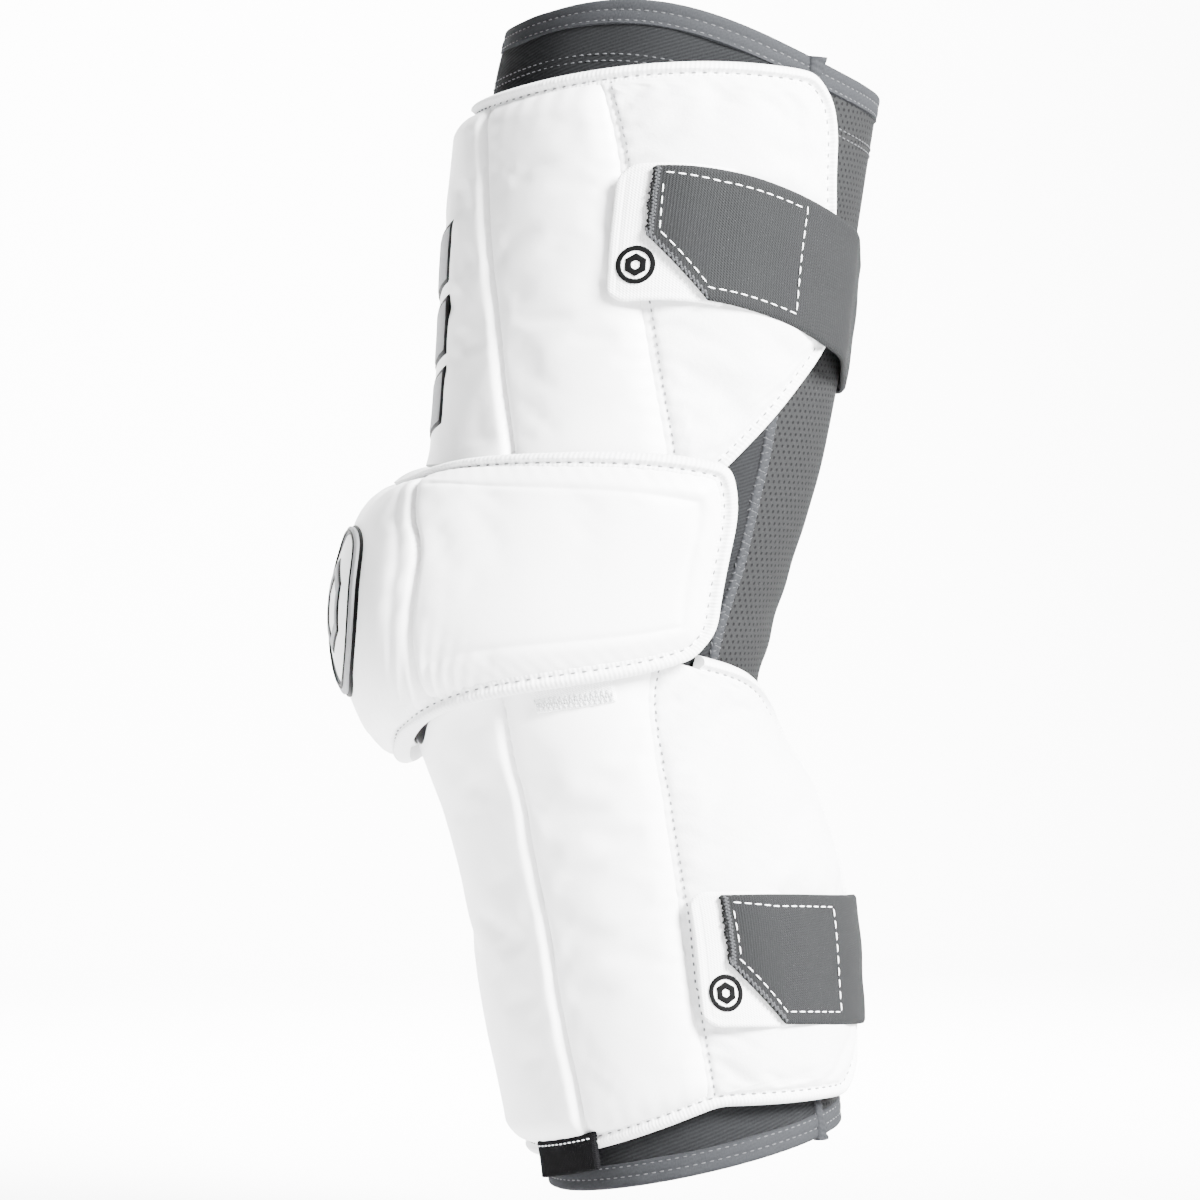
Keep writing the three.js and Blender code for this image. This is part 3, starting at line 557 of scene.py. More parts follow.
def puffed(angle, z, lift, loose, filling):
    """How far padded cloth swells between its seams: Blender's Cloth on a coarser grid of the same places.

    Points where loose is 0 are pinned, as a seam holds them, and the others are pushed out by the pressure
    for some frames, with the cloth cut larger by the filling's slack. Each point's way along the arm's
    normal, held under the filling's cap, is read back for every place of the fine grid.
    """
    wide = np.hypot(np.diff(angle[:, angle.shape[1] // 2]) * DEGREE, np.diff(z[:, z.shape[1] // 2])).sum()
    tall = np.hypot(np.diff(angle[angle.shape[0] // 2]) * DEGREE, np.diff(z[z.shape[0] // 2])).sum()
    columns = np.linspace(0, angle.shape[0] - 1, int(wide / filling.spacing) + 1).round().astype(int)
    rows = np.linspace(0, angle.shape[1] - 1, int(tall / filling.spacing) + 1).round().astype(int)
    pick = np.ix_(columns, rows)
    points, normals = along_surface(angle[pick], z[pick], lift[pick])
    number = np.arange(points.shape[0] * points.shape[1]).reshape(points.shape[:2])
    faces = quads(number[:-1, :-1], number[1:, :-1], number[1:, 1:], number[:-1, 1:])
    corner = points.reshape(-1, 3)[faces[len(faces) // 2]]
    outward = np.cross(corner[1] - corner[0], corner[2] - corner[0])
    if outward @ normals.reshape(-1, 3)[faces[len(faces) // 2][0]] < 0:
        faces = faces[:, ::-1]
    mesh = bpy.data.meshes.new("cloth")
    mesh.from_pydata(points.reshape(-1, 3) * MM, [], faces.tolist())
    cloth = bpy.data.objects.new("cloth", mesh)
    scene = bpy.context.scene
    scene.collection.objects.link(cloth)
    held = cloth.vertex_groups.new(name="held")
    free = loose[pick].ravel()
    for level in range(PIN_LEVELS + 1):
        chosen = np.flatnonzero(np.round(free * PIN_LEVELS) == level)
        held.add(chosen.tolist(), 1 - level / PIN_LEVELS, "REPLACE")
    modifier = cloth.modifiers.new("Cloth", "CLOTH")
    modifier.point_cache.frame_start = 1
    modifier.point_cache.frame_end = PUFF_FRAMES
    settings = modifier.settings
    settings.quality = 6
    settings.mass = 0.25
    settings.tension_stiffness = 12
    settings.compression_stiffness = 6
    settings.shear_stiffness = 4
    settings.bending_stiffness = 0.15
    settings.vertex_group_mass = "held"
    settings.pin_stiffness = 1
    settings.use_pressure = True
    settings.uniform_pressure_force = filling.pressure
    settings.shrink_min = -filling.slack
    settings.effector_weights.gravity = 0
    for frame_number in range(1, PUFF_FRAMES + 1):
        scene.frame_set(frame_number)
    result = cloth.evaluated_get(bpy.context.evaluated_depsgraph_get()).data
    after = np.empty(len(result.vertices) * 3)
    result.vertices.foreach_get("co", after)
    way = ((after.reshape(points.shape) / MM - points) * normals).sum(-1)
    bpy.data.objects.remove(cloth)
    bpy.data.meshes.remove(mesh)
    scene.frame_set(1)
    way = filling.cap * np.tanh(way / filling.cap)
    across = np.stack([np.interp(np.arange(angle.shape[0]), columns, line) for line in way.T], 1)
    fine = np.stack([np.interp(np.arange(angle.shape[1]), rows, line) for line in across])
    return soften(soften(fine, 3, 0), 3, 1)


def bell(half):
    """The weights of a running average over a number of points to each side."""
    kernel = np.hanning(2 * half + 3)[1:-1]
    return kernel / kernel.sum()


def soften(values, half, axis):
    """A running average along one way of a grid."""
    pads = [(0, 0), (0, 0)]
    pads[axis] = (half, half)
    return np.apply_along_axis(np.convolve, axis, np.pad(values, pads, "edge"), bell(half), "valid")


def average_line(values, half):
    """A line's running average, with its ends kept."""
    first = 2 * values[0] - values[half:0:-1]
    last = 2 * values[-1] - values[-2:-half - 2:-1]
    return np.convolve(np.concatenate([first, values, last]), bell(half), "valid")


def run_length(angle, z):
    """The length of a line up to each of its points."""
    return np.concatenate([[0], np.cumsum(np.hypot(np.diff(angle) * DEGREE, np.diff(z)))])


def round_polyline(angle, z, count, blur):
    """An outline resampled evenly, with its corners rounded by a running average of the given length."""
    length = run_length(angle, z)
    place = np.linspace(0, length[-1], count)
    angle, z = np.interp(place, length, angle), np.interp(place, length, z)
    half = max(1, int(blur / (length[-1] / count)))
    return average_line(angle, half), average_line(z, half)


def inset(angle, z, distance, scale):
    """The line that lies beside an outline by a distance, across its own direction."""
    run = np.gradient(angle) * scale
    rise = np.gradient(z)
    length = np.hypot(run, rise)
    return angle - rise / length * distance / scale, z + run / length * distance


def stitch_row(name, key, points, normals, pitch, length, thickness):
    """A row of stitches: small capsules laid along a line of points, one every pitch, sunk by half."""
    steps = np.linalg.norm(np.diff(points, axis=0), axis=1)
    place = np.concatenate([[0], np.cumsum(steps)])
    centres = np.arange(pitch / 2, place[-1] - pitch / 2, pitch)

    def between(at, values):
        return np.stack([np.interp(at, place, values[:, i]) for i in range(3)], -1)

    middle, normal = between(centres, points), between(centres, normals)
    tangent = between(centres + 0.3, points) - between(centres - 0.3, points)
    tangent /= np.linalg.norm(tangent, axis=1, keepdims=True) + 1e-9
    normal -= (normal * tangent).sum(1, keepdims=True) * tangent
    normal /= np.linalg.norm(normal, axis=1, keepdims=True) + 1e-9
    side = np.cross(tangent, normal)
    return capsules(name, key, middle, tangent, normal, side, length, thickness)


def capsules(name, key, middle, tangent, normal, side, length, thickness):
    """Many small spindles: five rings of six points each, drawn in at both ends."""
    along = np.array([-1, -0.7, 0, 0.7, 1]) * length / 2
    girth = np.array([0.25, 0.85, 1, 0.85, 0.25]) * thickness / 2
    dip = np.array([-0.6, -0.1, 0, -0.1, -0.6]) * thickness / 2
    turn = np.arange(6) * math.pi / 3
    ring = np.zeros((5, 6, 3))
    ring[..., 0] = along[:, None]
    ring[..., 1] = girth[:, None] * np.sin(turn) + dip[:, None]
    ring[..., 2] = girth[:, None] * np.cos(turn)
    axes = np.stack([tangent, normal, side], 1)
    points = middle[:, None, None] + np.einsum("rsk,nkd->nrsd", ring, axes)
    base = np.arange(30).reshape(5, 6)
    sides = quads(base[:-1], base[1:], np.roll(base[1:], -1, 1), np.roll(base[:-1], -1, 1))
    caps = np.array([[0, 1, 2, 3], [0, 3, 4, 5], [27, 26, 25, 24], [29, 28, 27, 24]])
    faces = np.concatenate([sides[:, ::-1], caps[:, ::-1]])
    count = len(middle)
    faces = (faces[None] + 30 * np.arange(count)[:, None, None]).reshape(-1, 4)
    return make(name, key, points.reshape(-1, 3), faces.tolist())


def along_surface(angle, z, lift):
    """A line's points and normals on the arm at a lift."""
    points = lifted(angle, z, lift)
    normals = lifted(angle, z, lift + 1) - points
    return points, normals


def surface_stitches(name, key, angle, z, lift, pitch, length, thickness):
    """Stitches along a line on the arm."""
    points, normals = along_surface(angle, z, lift)
    return stitch_row(name, key, points, normals, pitch, length, thickness)


# Sleeve.

SEAM_HALF = 1.9
# Distances of the stitch rows from the sleeve's rims.
HEM_ROWS = (3.7, 7.1)
SLEEVE_ROWS = (18.0, 20.2)


def sleeve_grid(low_angle, high_angle, columns, rows):
    """Places between two seam lines: angle shared between the lines, height between the hems."""
    u, v = grid(columns, rows)
    middle = bottom_rim(90.0) + (top_rim(90.0) - bottom_rim(90.0)) * v
    first, last = low_angle(middle), high_angle(middle)
    angle = first + (last - first) * u
    low = bottom_rim(angle) + HEM_HEIGHT - 1.0
    high = top_rim(angle) - HEM_HEIGHT + 1.0
    return angle, low + (high - low) * v


def seam_line(side, rows):
    """A seam's own line: its angle at even heights from hem to hem."""
    v = np.linspace(0, 1, rows)
    middle = bottom_rim(90.0) + (top_rim(90.0) - bottom_rim(90.0)) * v
    angle = side * seam_angle(middle)
    low, high = bottom_rim(angle) - 0.8, top_rim(angle) + 0.8
    return angle, low + (high - low) * v


def cloth_size(angle, z):
    """The width and length in metres of cloth laid flat, along its middle row and its middle column."""
    points = lifted(angle, z, SLEEVE_WALL)
    row, column = points[:, points.shape[1] // 2], points[points.shape[0] // 2]
    return [float(np.linalg.norm(np.diff(line, axis=0), axis=1).sum()) * MM for line in (row, column)]


def build_sleeve(sizes):
    """The stretch sleeve: its panels, overlocked seams, folded hems and the rows below the top hem."""
    build_panels(sizes)
    for side, hand in SIDES:
        build_seam(side, hand)
    for name, node, rim, way in (
        ("folded_hem_top", "sleeve_top_hem", top_rim, -1),
        ("folded_hem_bottom", "sleeve_bottom_hem", bottom_rim, 1),
    ):
        build_hem(name, node, rim, way, sizes)
    line = np.linspace(0, 360, 1200)
    for row, offset in enumerate(SLEEVE_ROWS):
        surface_stitches(
            f"sleeve_row_{row}", "thread_hem", line, top_rim(line) - offset, SLEEVE_WALL + 0.1,
            sizes.stitch_pitch / MM, *SLEEVE_STITCH,
        )


def build_panels(sizes):
    """The two cloth panels, with soft ripples, drag lines beside the seams and folds in the elbow's bend."""
    ripple = sizes.ripple / MM
    for name, key, first, last, columns in (
        ("knit_front", "knit", lambda z: -seam_angle(z), seam_angle, 170),
        ("mesh_inner", "mesh", seam_angle, lambda z: 360 - seam_angle(z), 90),
    ):
        angle, z = sleeve_grid(first, last, columns, 180)
        near = np.minimum(np.abs(np.abs(angle) - seam_angle(z)), np.abs(360 - angle - seam_angle(z))) * DEGREE
        drag = 0.35 * ripple * np.sin(2 * math.pi * z / 17) * np.exp(-near / 9)
        lift = SLEEVE_WALL + ripple * waves(angle, z, 42, 3) + drag
        bend = np.exp(-((z + 22) / 38) ** 2) * np.exp(-((angle - 180) / 50) ** 2)
        lift = lift + 0.35 * bend * np.sin(2 * math.pi * (z + 0.06 * (angle - 180)) / 19)
        shell(name, key, angle, z, lift, lift - SLEEVE_WALL)
        cloth_size(angle, z)
    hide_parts("sleeve_front_panel")
    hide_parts("sleeve_inner_panel")


def build_seam(side, hand):
    """An overlocked seam: a lumpy cord that spreads at both hems, under zigzag thread."""
    line, height = seam_line(side, 760)
    share = np.linspace(-1, 1, 9)
    to_top = np.maximum(top_rim(line) - height, 0)
    to_bottom = np.maximum(height - bottom_rim(line), 0)
    ends = (np.exp(-to_top / 6) + np.exp(-to_bottom / 6))[:, None]
    angle = line[:, None] + share[None] * (SEAM_HALF + 1.5 * ends) / DEGREE
    z = np.repeat(height[:, None], len(share), 1)
    loops = np.abs(np.sin(math.pi * (z + 0.9 * share[None]) / 2.1))
    hump = np.sqrt(np.clip(1 - share**2, 0, 1))[None]
    lift = SLEEVE_WALL + (0.45 + 0.8 * hump * (0.55 + 0.45 * loops)) * (1 + 1.1 * ends)
    seam = shell(f"overlock_{hand}", "band", angle, z, lift, 0.3)
    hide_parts(f"sleeve_seam_{hand}")
    run, known = np.linspace(0, 1, 4200), np.linspace(0, 1, len(line))
    level = np.interp(run, known, height)
    swing = 2.1 * (np.abs((level / 2.6) % 1 - 0.5) * 4 - 1)
    surface_stitches(
        f"overlock_thread_{hand}", "thread_seam", np.interp(run, known, line) + swing / DEGREE, level,
        2.15 - 0.14 * swing**2, *OVERLOCK_STITCH,
    )


def build_hem(name, node, rim, way, sizes):
    """A folded hem round one end of the sleeve, pressed down along its two rows of stitches."""
    share = np.linspace(0, 1, 17)[None]
    angle = np.repeat(np.linspace(0, 360, 361)[:-1, None], share.size, 1)
    depth = HEM_HEIGHT * share
    z = rim(angle) + way * HEM_HEIGHT * share
    fold = roll(depth, 1.6) * roll(HEM_HEIGHT - depth, 0.8)
    rows = sum(channel(depth - offset, 0.5) for offset in HEM_ROWS)
    lift = 0.6 + 1.5 * fold - 0.35 * rows + 0.25 * waves(angle, z, 16, 5)
    hem = shell(name, "band", angle, z, lift, 0.6 - 0.8 * fold, ring=True)
    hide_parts(node)
    line = np.linspace(0, 360, 900)
    for row, offset in enumerate(HEM_ROWS):
        surface_stitches(
            f"{name}_row_{row}", "thread_hem", line, rim(line) + way * offset, 1.75,
            sizes.stitch_pitch / MM, *HEM_STITCH,
        )


# Guards.

# Heights of the foam: over the panels, more on the ridge, and what is left at the seams and the edges.
GUARD_FOAM = 9.0
RIDGE_RISE = 2.0
SEAM_FOAM = 4.4
EDGE_FOAM = 2.4
WING_EDGE = 2.8
# Points to each side in a tape's running average, and the grid line of a tape that its stitches follow.
SMOOTHING = 12
TAPE_ROW = 12

# A guard's borders, its low and high edges as functions of the angle, and which of the two is bound.
Guard = namedtuple("Guard", "name borders low high bound_top")


def upper_low(angle):
    """The upper guard's edge under the cap."""
    return 0.1025 * SLEEVE_LENGTH + 0 * angle


def upper_high(angle):
    """The upper guard's bound top edge, higher at the sides."""
    return SLEEVE_LENGTH * (0.4165 + 0.02 * np.sin(np.radians(angle)) ** 2)


def lower_low(angle):
    """The forearm guard's bound bottom edge, lowest in front."""
    return SLEEVE_LENGTH * (-0.4125 - 0.05 * np.maximum(np.cos(np.radians(angle)), 0))


def lower_high(angle):
    """The forearm guard's edge under the cap, cut lower in front and rising towards the wings."""
    rise = 0.018 * np.minimum((angle / 95) ** 4, 1.0)
    return SLEEVE_LENGTH * (rise - 0.062 - 0.045 * np.exp(-((angle / 27) ** 2)))


UPPER = Guard("upper", UPPER_BORDERS, upper_low, upper_high, True)
LOWER = Guard("lower", LOWER_BORDERS, lower_low, lower_high, False)


def stand_off(angle):
    """How far a guard stands off the sleeve: close in front, a little further at the wings."""
    return PAD_LIFT + WING_FLARE * smooth(88, 118, np.abs(angle))


def half_outline(guard, count=420):
    """Half a guard's rounded outline, from the middle of its bound edge to its end under the cap."""
    edge = guard.high if guard.bound_top else guard.low
    far = guard.low if guard.bound_top else guard.high
    corner = float(read(guard.borders, "wing", 1.0 if guard.bound_top else 0.0))
    first = np.linspace(0, corner, 200)
    v = np.linspace(0, 1, 300)[1:]
    second = read(guard.borders, "wing", 1 - v if guard.bound_top else v)
    z = np.concatenate([edge(first), edge(second) + (far(second) - edge(second)) * v])
    return round_polyline(np.concatenate([first, second]), z, count, 7.0)


def tape(angle, z, width, base, thickness):
    """A rolled tape along a line: a full round at the outer edge, a stitched margin and a thin inner edge."""
    inner_angle, inner_z = inset(angle, z, width, DEGREE)
    inner_angle, inner_z = average_line(inner_angle, SMOOTHING), average_line(inner_z, SMOOTHING)
    share = np.linspace(0, 1, 19)[None]
    line = angle[:, None] + (inner_angle - angle)[:, None] * share
    height = z[:, None] + (inner_z - z)[:, None] * share
    s = abs(width) * share
    body = 0.25 + 0.75 * roll(s, 2.6)
    margin = 1 - 0.2 * smooth(2.7, 3.6, s) - 0.2 * (1 - roll(abs(width) - s, 0.9))
    dent = 0.4 * channel(s - 4.1, 0.5)
    under = base(line, height)
    length = run_length(angle, z)[:, None]
    pucker = 0.16 * np.sin(2 * math.pi * length / TAPE_STITCH[0]) * channel(s - 4.0, 1.5)
    lift = under + thickness(line, height) * body * margin - dent - pucker + 0.2 * waves(line, height, 20, 9)
    return line, height, lift, under, np.stack([length + 0 * s, s + 0 * length], -1)


def tape_row(name, line, height, lift):
    """The row of stitches along a tape's margin."""
    points = lifted(line[:, TAPE_ROW], height[:, TAPE_ROW], lift[:, TAPE_ROW] + 0.1)
    normals = lifted(line[:, TAPE_ROW], height[:, TAPE_ROW], lift[:, TAPE_ROW] + 1) - points
    stitch_row(name, "thread_grey", points, normals, *TAPE_STITCH)


def guard_shell(guard, sizes):
    """The coated front of a guard: a raised ridge between two grooves and a softly filled panel on each side.

    The thickness falls like a quarter round towards the grooves, the stitch lines and the bound edge.
    """
    u, v = grid(221, 221)
    at = 0.94 * v if guard.bound_top else 0.06 + 0.94 * v
    side = read(guard.borders, "side", at) - 0.2 / DEGREE
    angle = side * (2 * u - 1)
    low = guard.low(angle) + (0 if guard.bound_top else BINDING_WIDTH - TUCK)
    high = guard.high(angle) - (BINDING_WIDTH - TUCK if guard.bound_top else 0)
    z = low + (high - low) * v
    ridge = read(guard.borders, "ridge", at)
    to_ridge = (np.abs(angle) - ridge) * DEGREE
    to_side = (side - np.abs(angle)) * DEGREE
    to_bound = (high - z) if guard.bound_top else (z - low)
    full = GUARD_FOAM + RIDGE_RISE * smooth(-2.0, 2.0, -to_ridge)
    groove = sizes.groove_depth / MM * channel(to_ridge, 1.0) + 1.5 * (1 - roll(np.abs(to_ridge), 7.0))
    body = full - groove
    body = SEAM_FOAM + (body - SEAM_FOAM) * roll(to_side, 8.5) ** 0.9
    body = EDGE_FOAM + (body - EDGE_FOAM) * roll(to_bound, 9.0) ** 0.9
    pucker = 0.16 * np.sin(2 * math.pi * z / 6.1) * np.exp(-to_side / 4.0)
    pucker = pucker + 0.2 * np.sin(2 * math.pi * angle * DEGREE / 6.7) * np.exp(-to_bound / 5.0)
    soft = sizes.ripple / MM * (0.7 * waves(angle, z, 60, 11) + 0.35 * waves(angle, z, 24, 12))
    lift = stand_off(angle) + body + pucker + soft * roll(np.minimum(to_side, to_bound), 12.0)
    loose = smooth(2.0, 5.0, np.minimum(np.minimum(np.abs(to_ridge), to_side), to_bound))
    lift = lift + puffed(angle, z, lift, loose, THICK_FOAM)
    piece = shell(f"{guard.name}_coated_shell", "shell", angle, z, lift, stand_off(angle))
    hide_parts(*(f"{guard.name}_{panel}" for panel in ("ridge", "side_near", "side_far")))


def wing_grid(guard, columns, rows):
    """Places of a near wing: from the stitch line to the outline's inner line, row by row along both."""
    angle, z = half_outline(guard)
    way = -1 if guard.bound_top else 1
    line, height = inset(angle, z, way * (BINDING_WIDTH - TUCK), DEGREE)
    line, height = average_line(line, SMOOTHING), average_line(height, SMOOTHING)
    stitch = read(guard.borders, "side", 1.0 if guard.bound_top else 0.0)
    first = int(np.argmax(line > stitch + 2.0))
    share = np.linspace(0, 1, rows)
    index = first + share * (len(line) - 1 - first)
    path = np.interp(index, np.arange(len(line)), line)
    path_z = np.interp(index, np.arange(len(line)), height)
    at = 0.94 * (1 - share) if guard.bound_top else 0.06 + 0.94 * share
    inner = read(guard.borders, "side", at) - 2.4 / DEGREE
    edge = guard.high(inner) if guard.bound_top else guard.low(inner)
    edge = edge + way * (BINDING_WIDTH - TUCK)
    end = guard.low(inner) if guard.bound_top else guard.high(inner)
    inner_z = edge + (end - edge) * share
    u = np.linspace(0, 1, columns)[:, None]
    return inner + (path - inner) * u, inner_z + (path_z - inner_z) * u


def guard_wing(guard, side, hand, sizes):
    """A jersey wing: thin foam under brushed cloth, held down along its stitch line and its tape."""
    angle, z = wing_grid(guard, 110, 190)
    to_stitch = np.hypot((angle - angle[:1]) * DEGREE, z - z[:1])
    to_tape = np.hypot((angle - angle[-1:]) * DEGREE, z - z[-1:])
    fill = sizes.wing_fill / MM - WING_EDGE
    body = WING_EDGE + fill * roll(to_stitch, 9.0) ** 0.8 * roll(to_tape, 10.0) ** 0.8
    seed = 21 if side > 0 else 22
    soft = 0.35 * waves(angle, z, 26, seed) + 0.2 * waves(angle, z, 9, seed + 4)
    pucker = 0.28 * np.sin(2 * math.pi * z / 5.3 + 1.3 * waves(angle, z, 30, seed)) * np.exp(-to_stitch / 4.5)
    pucker = pucker + 0.22 * np.sin(2 * math.pi * (z + angle * DEGREE) / 6.1) * np.exp(-to_tape / 4.0)
    lift = stand_off(angle) + body + soft + pucker
    loose = smooth(2.0, 5.0, to_stitch) * smooth(3.0, 6.0, to_tape)
    swell = puffed(side * angle, z, lift, loose, THIN_FOAM)
    lift = lift + swell - 0.7 * channel(to_stitch - 3.8, 0.9)
    piece = shell(f"{guard.name}_jersey_{hand}", "jersey", side * angle, z, lift, stand_off(angle))
    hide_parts(f"{guard.name}_wing_{hand}")
    keep = (angle[1:, :] - angle[:1, :]) * DEGREE
    row = np.argmax(keep > 3.8, axis=0) + 1
    column = np.arange(angle.shape[1])
    line, height, top = side * angle[row, column], z[row, column], lift[row, column]
    points = lifted(line, height, top + 0.05)
    normals = lifted(line, height, top + 1) - points
    stitch_row(f"{piece.name}_row", "thread_grey", points, normals, sizes.stitch_pitch / MM, *PANEL_STITCH)


def build_guard(guard, sizes):
    """A guard: coated front, two wings, rolled tape and the dotted stitch rows."""
    guard_shell(guard, sizes)
    for side, hand in SIDES:
        guard_wing(guard, side, hand, sizes)
    half, half_z = half_outline(guard)
    angle = np.concatenate([-half[:0:-1], half])
    z = np.concatenate([half_z[:0:-1], half_z])
    way = -1 if guard.bound_top else 1
    line, height, lift, under, uv = tape(
        angle, z, way * BINDING_WIDTH, lambda a, h: stand_off(a),
        lambda a, h: sizes.tape_thickness / MM + 0 * a,
    )
    binding = shell(f"{guard.name}_rolled_tape", "binding", line, height, lift, under, uv=uv)
    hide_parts(f"{guard.name}_binding")
    tape_row(f"{guard.name}_tape_row", line, height, lift)


# Elbow cap.

CAP_DIP = 8.5
CAP_GAP = 2.3
CAP_SCALE = DEGREE * 1.25
CAP_REACH = (109, 103)
LIP_CENTRE = -10
TAB_START = 62.5
TAB_SPAN = 24.5
TAB_HEIGHT = 13
TAB_DROP = 7.5


def cap_bottom(angle):
    """The cap's bottom edge, which hangs in a lip that lies a little to the far side."""
    lip = np.exp(-(((angle + 18) / 40) ** 2))
    return SLEEVE_LENGTH * (-0.067 - 0.052 * lip + 0.0175 * (angle / 105) ** 6)


def cap_top(angle):
    """The cap's top edge, with a dip at the front."""
    edge = SLEEVE_LENGTH * (0.103 + 0.0175 * np.sin(np.radians(angle)) ** 2 - 0.006 * (angle / 98) ** 6)
    return edge - CAP_DIP * np.exp(-((angle / 23) ** 2))


def cap_share(angle, z):
    """The share of the cap's height at a place."""
    return np.clip((z - cap_bottom(angle)) / (cap_top(angle) - cap_bottom(angle)), 0, 1)


def frontal(angle):
    """1 at the front, falling to 0 at the sides."""
    return np.maximum(np.cos(np.radians(angle)), 0) ** 2


def cap_lip(angle):
    """1 where the cap's lip hangs lowest, falling away to both sides."""
    return np.exp(-(((angle - LIP_CENTRE) / 34) ** 2))


def cap_rim(angle, v):
    """How far the cap's rim stands over the guards."""
    return PAD_LIFT + GUARD_FOAM + CAP_GAP + 2.0 * frontal(angle) + 2.0 * cap_lip(angle) * (1 - v)


def crown(t):
    """0 at both ends and 1 over most of the middle: one less the fourth power of the distance from it."""
    return 1 - np.abs(2 * t - 1) ** 4


def cap_over(angle, v):
    """The cap's outer face: its rim and thickness, a flat front, and a swell with a brow and a jaw."""
    front = frontal(angle)
    middle = np.exp(-((angle / 34) ** 2))
    brow = 1.9 * middle * np.exp(-(((v - 0.8) / 0.13) ** 2))
    jaw = 1.2 * middle * np.exp(-(((v - 0.22) / 0.1) ** 2))
    bend = np.radians(np.minimum(np.abs(angle), 60))
    flat = 37.0 * (1 / np.cos(bend) - 1) * np.exp(-((angle / 33) ** 4)) * crown(v)
    return cap_rim(angle, v) + 5.4 + 0.6 * front + (1.2 + 1.2 * front) * crown(v) + brow + jaw + flat


def build_cap(sizes):
    """The elbow cap: its coated shell, its tape and its sewn tabs."""
    build_cap_shell(sizes)
    build_cap_tape()
    for side, hand in SIDES:
        build_cap_tab(side, hand)


def build_cap_shell(sizes):
    """The cap's one coated shell, with a pressed line round its centre and gathers along its bottom."""
    inward = BINDING_WIDTH - TUCK
    u, v = grid(311, 157)
    share = 0.03 + 0.94 * v
    reach = read(CAP_BORDERS, "reach", share) - inward / DEGREE
    angle = reach * (2 * u - 1)
    low, high = cap_bottom(angle) + inward, cap_top(angle) - inward
    z = low + (high - low) * v
    share = cap_share(angle, z)
    groove = read(CAP_BORDERS, "groove", share)
    to_groove = (np.abs(angle) - groove) * CAP_SCALE
    to_edge = np.minimum(np.minimum(z - low, high - z), (reach - np.abs(angle)) * CAP_SCALE)
    pressed = 2.3 * channel(to_groove, 1.0) + 1.1 * (1 - roll(np.abs(to_groove), 6.0))
    inner_line = 0.6 * channel(to_groove + 6.5, 1.8)
    pressed = pressed + inner_line * smooth(0.12, 0.3, share) * smooth(1.0, 0.8, share)
    frame_line = 0.7 * channel(to_edge - 9.0, 1.3) * smooth(3.0, 8.0, to_groove)
    edge = 3.6 * (1 - roll(to_edge, 9.0))
    gather = np.exp(-(((np.abs(angle) - 27) / 17) ** 2)) * np.exp(-np.maximum(z - low - 1, 0) / 5.5)
    phase = 2.6 * waves(angle, z, 19, 33)
    run = np.abs(angle) * CAP_SCALE - 0.35 * (z - low)
    folds = (1.4 + 0.8 * waves(angle, z, 15, 34)) * gather * np.sin(2 * math.pi * run / 4.4 + phase)
    soft = sizes.ripple / MM * (waves(angle, z, 55, 31) + 0.4 * waves(angle, z, 22, 32)) * roll(to_edge, 14.0)
    pucker = 0.14 * np.sin(2 * math.pi * (angle * CAP_SCALE + z) / 5.6) * np.exp(-to_edge / 4.0)
    lift = cap_over(angle, share) - pressed - frame_line - edge + folds + soft + pucker
    loose = smooth(2.0, 5.0, np.minimum(np.abs(to_groove), to_edge))
    lift = lift + puffed(angle, z, lift, loose, THICK_FOAM)
    under = cap_rim(angle, share)
    inner = np.minimum(np.maximum(lift - 9.0, PAD_LIFT), under)
    under = under + (inner - under) * crown(share) ** 0.5
    cap = shell("cap_coated_shell", "shell", angle, z, lift, under)
    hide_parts("elbow_cap_center", "elbow_cap_side_near", "elbow_cap_side_far")


def build_cap_tape():
    """The cap's rolled tape: its outline, closed at the middle of the bottom edge, and the row along it."""
    side_v = np.linspace(0, 1, 120)[1:-1]
    corner = read(CAP_BORDERS, "reach", side_v)
    bottom = np.linspace(-CAP_REACH[0], CAP_REACH[0], 300)
    top = np.linspace(CAP_REACH[1], -CAP_REACH[1], 300)
    angle = np.concatenate([bottom, corner, top, -corner[::-1]])
    side_z = cap_bottom(corner) + (cap_top(corner) - cap_bottom(corner)) * side_v
    z = np.concatenate([cap_bottom(bottom), side_z, cap_top(top), side_z[::-1]])
    angle, z = np.roll(angle, -150), np.roll(z, -150)
    angle, z = np.append(angle, angle[0]), np.append(z, z[0])
    angle, z = round_polyline(angle, z, 900, 6.0)
    rolled = tape(
        angle, z, BINDING_WIDTH, lambda a, h: cap_rim(a, cap_share(a, h)),
        lambda a, h: 5.2 + 0.8 * frontal(a) - 1.2 * cap_lip(a) * (h < 0),
    )
    line, height, lift, under, uv = (part[:-1] for part in rolled)
    binding = shell("cap_rolled_tape", "binding", line, height, lift, under, ring=True, uv=uv)
    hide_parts("elbow_cap_binding")
    tape_row("cap_tape_row", line, height, lift)


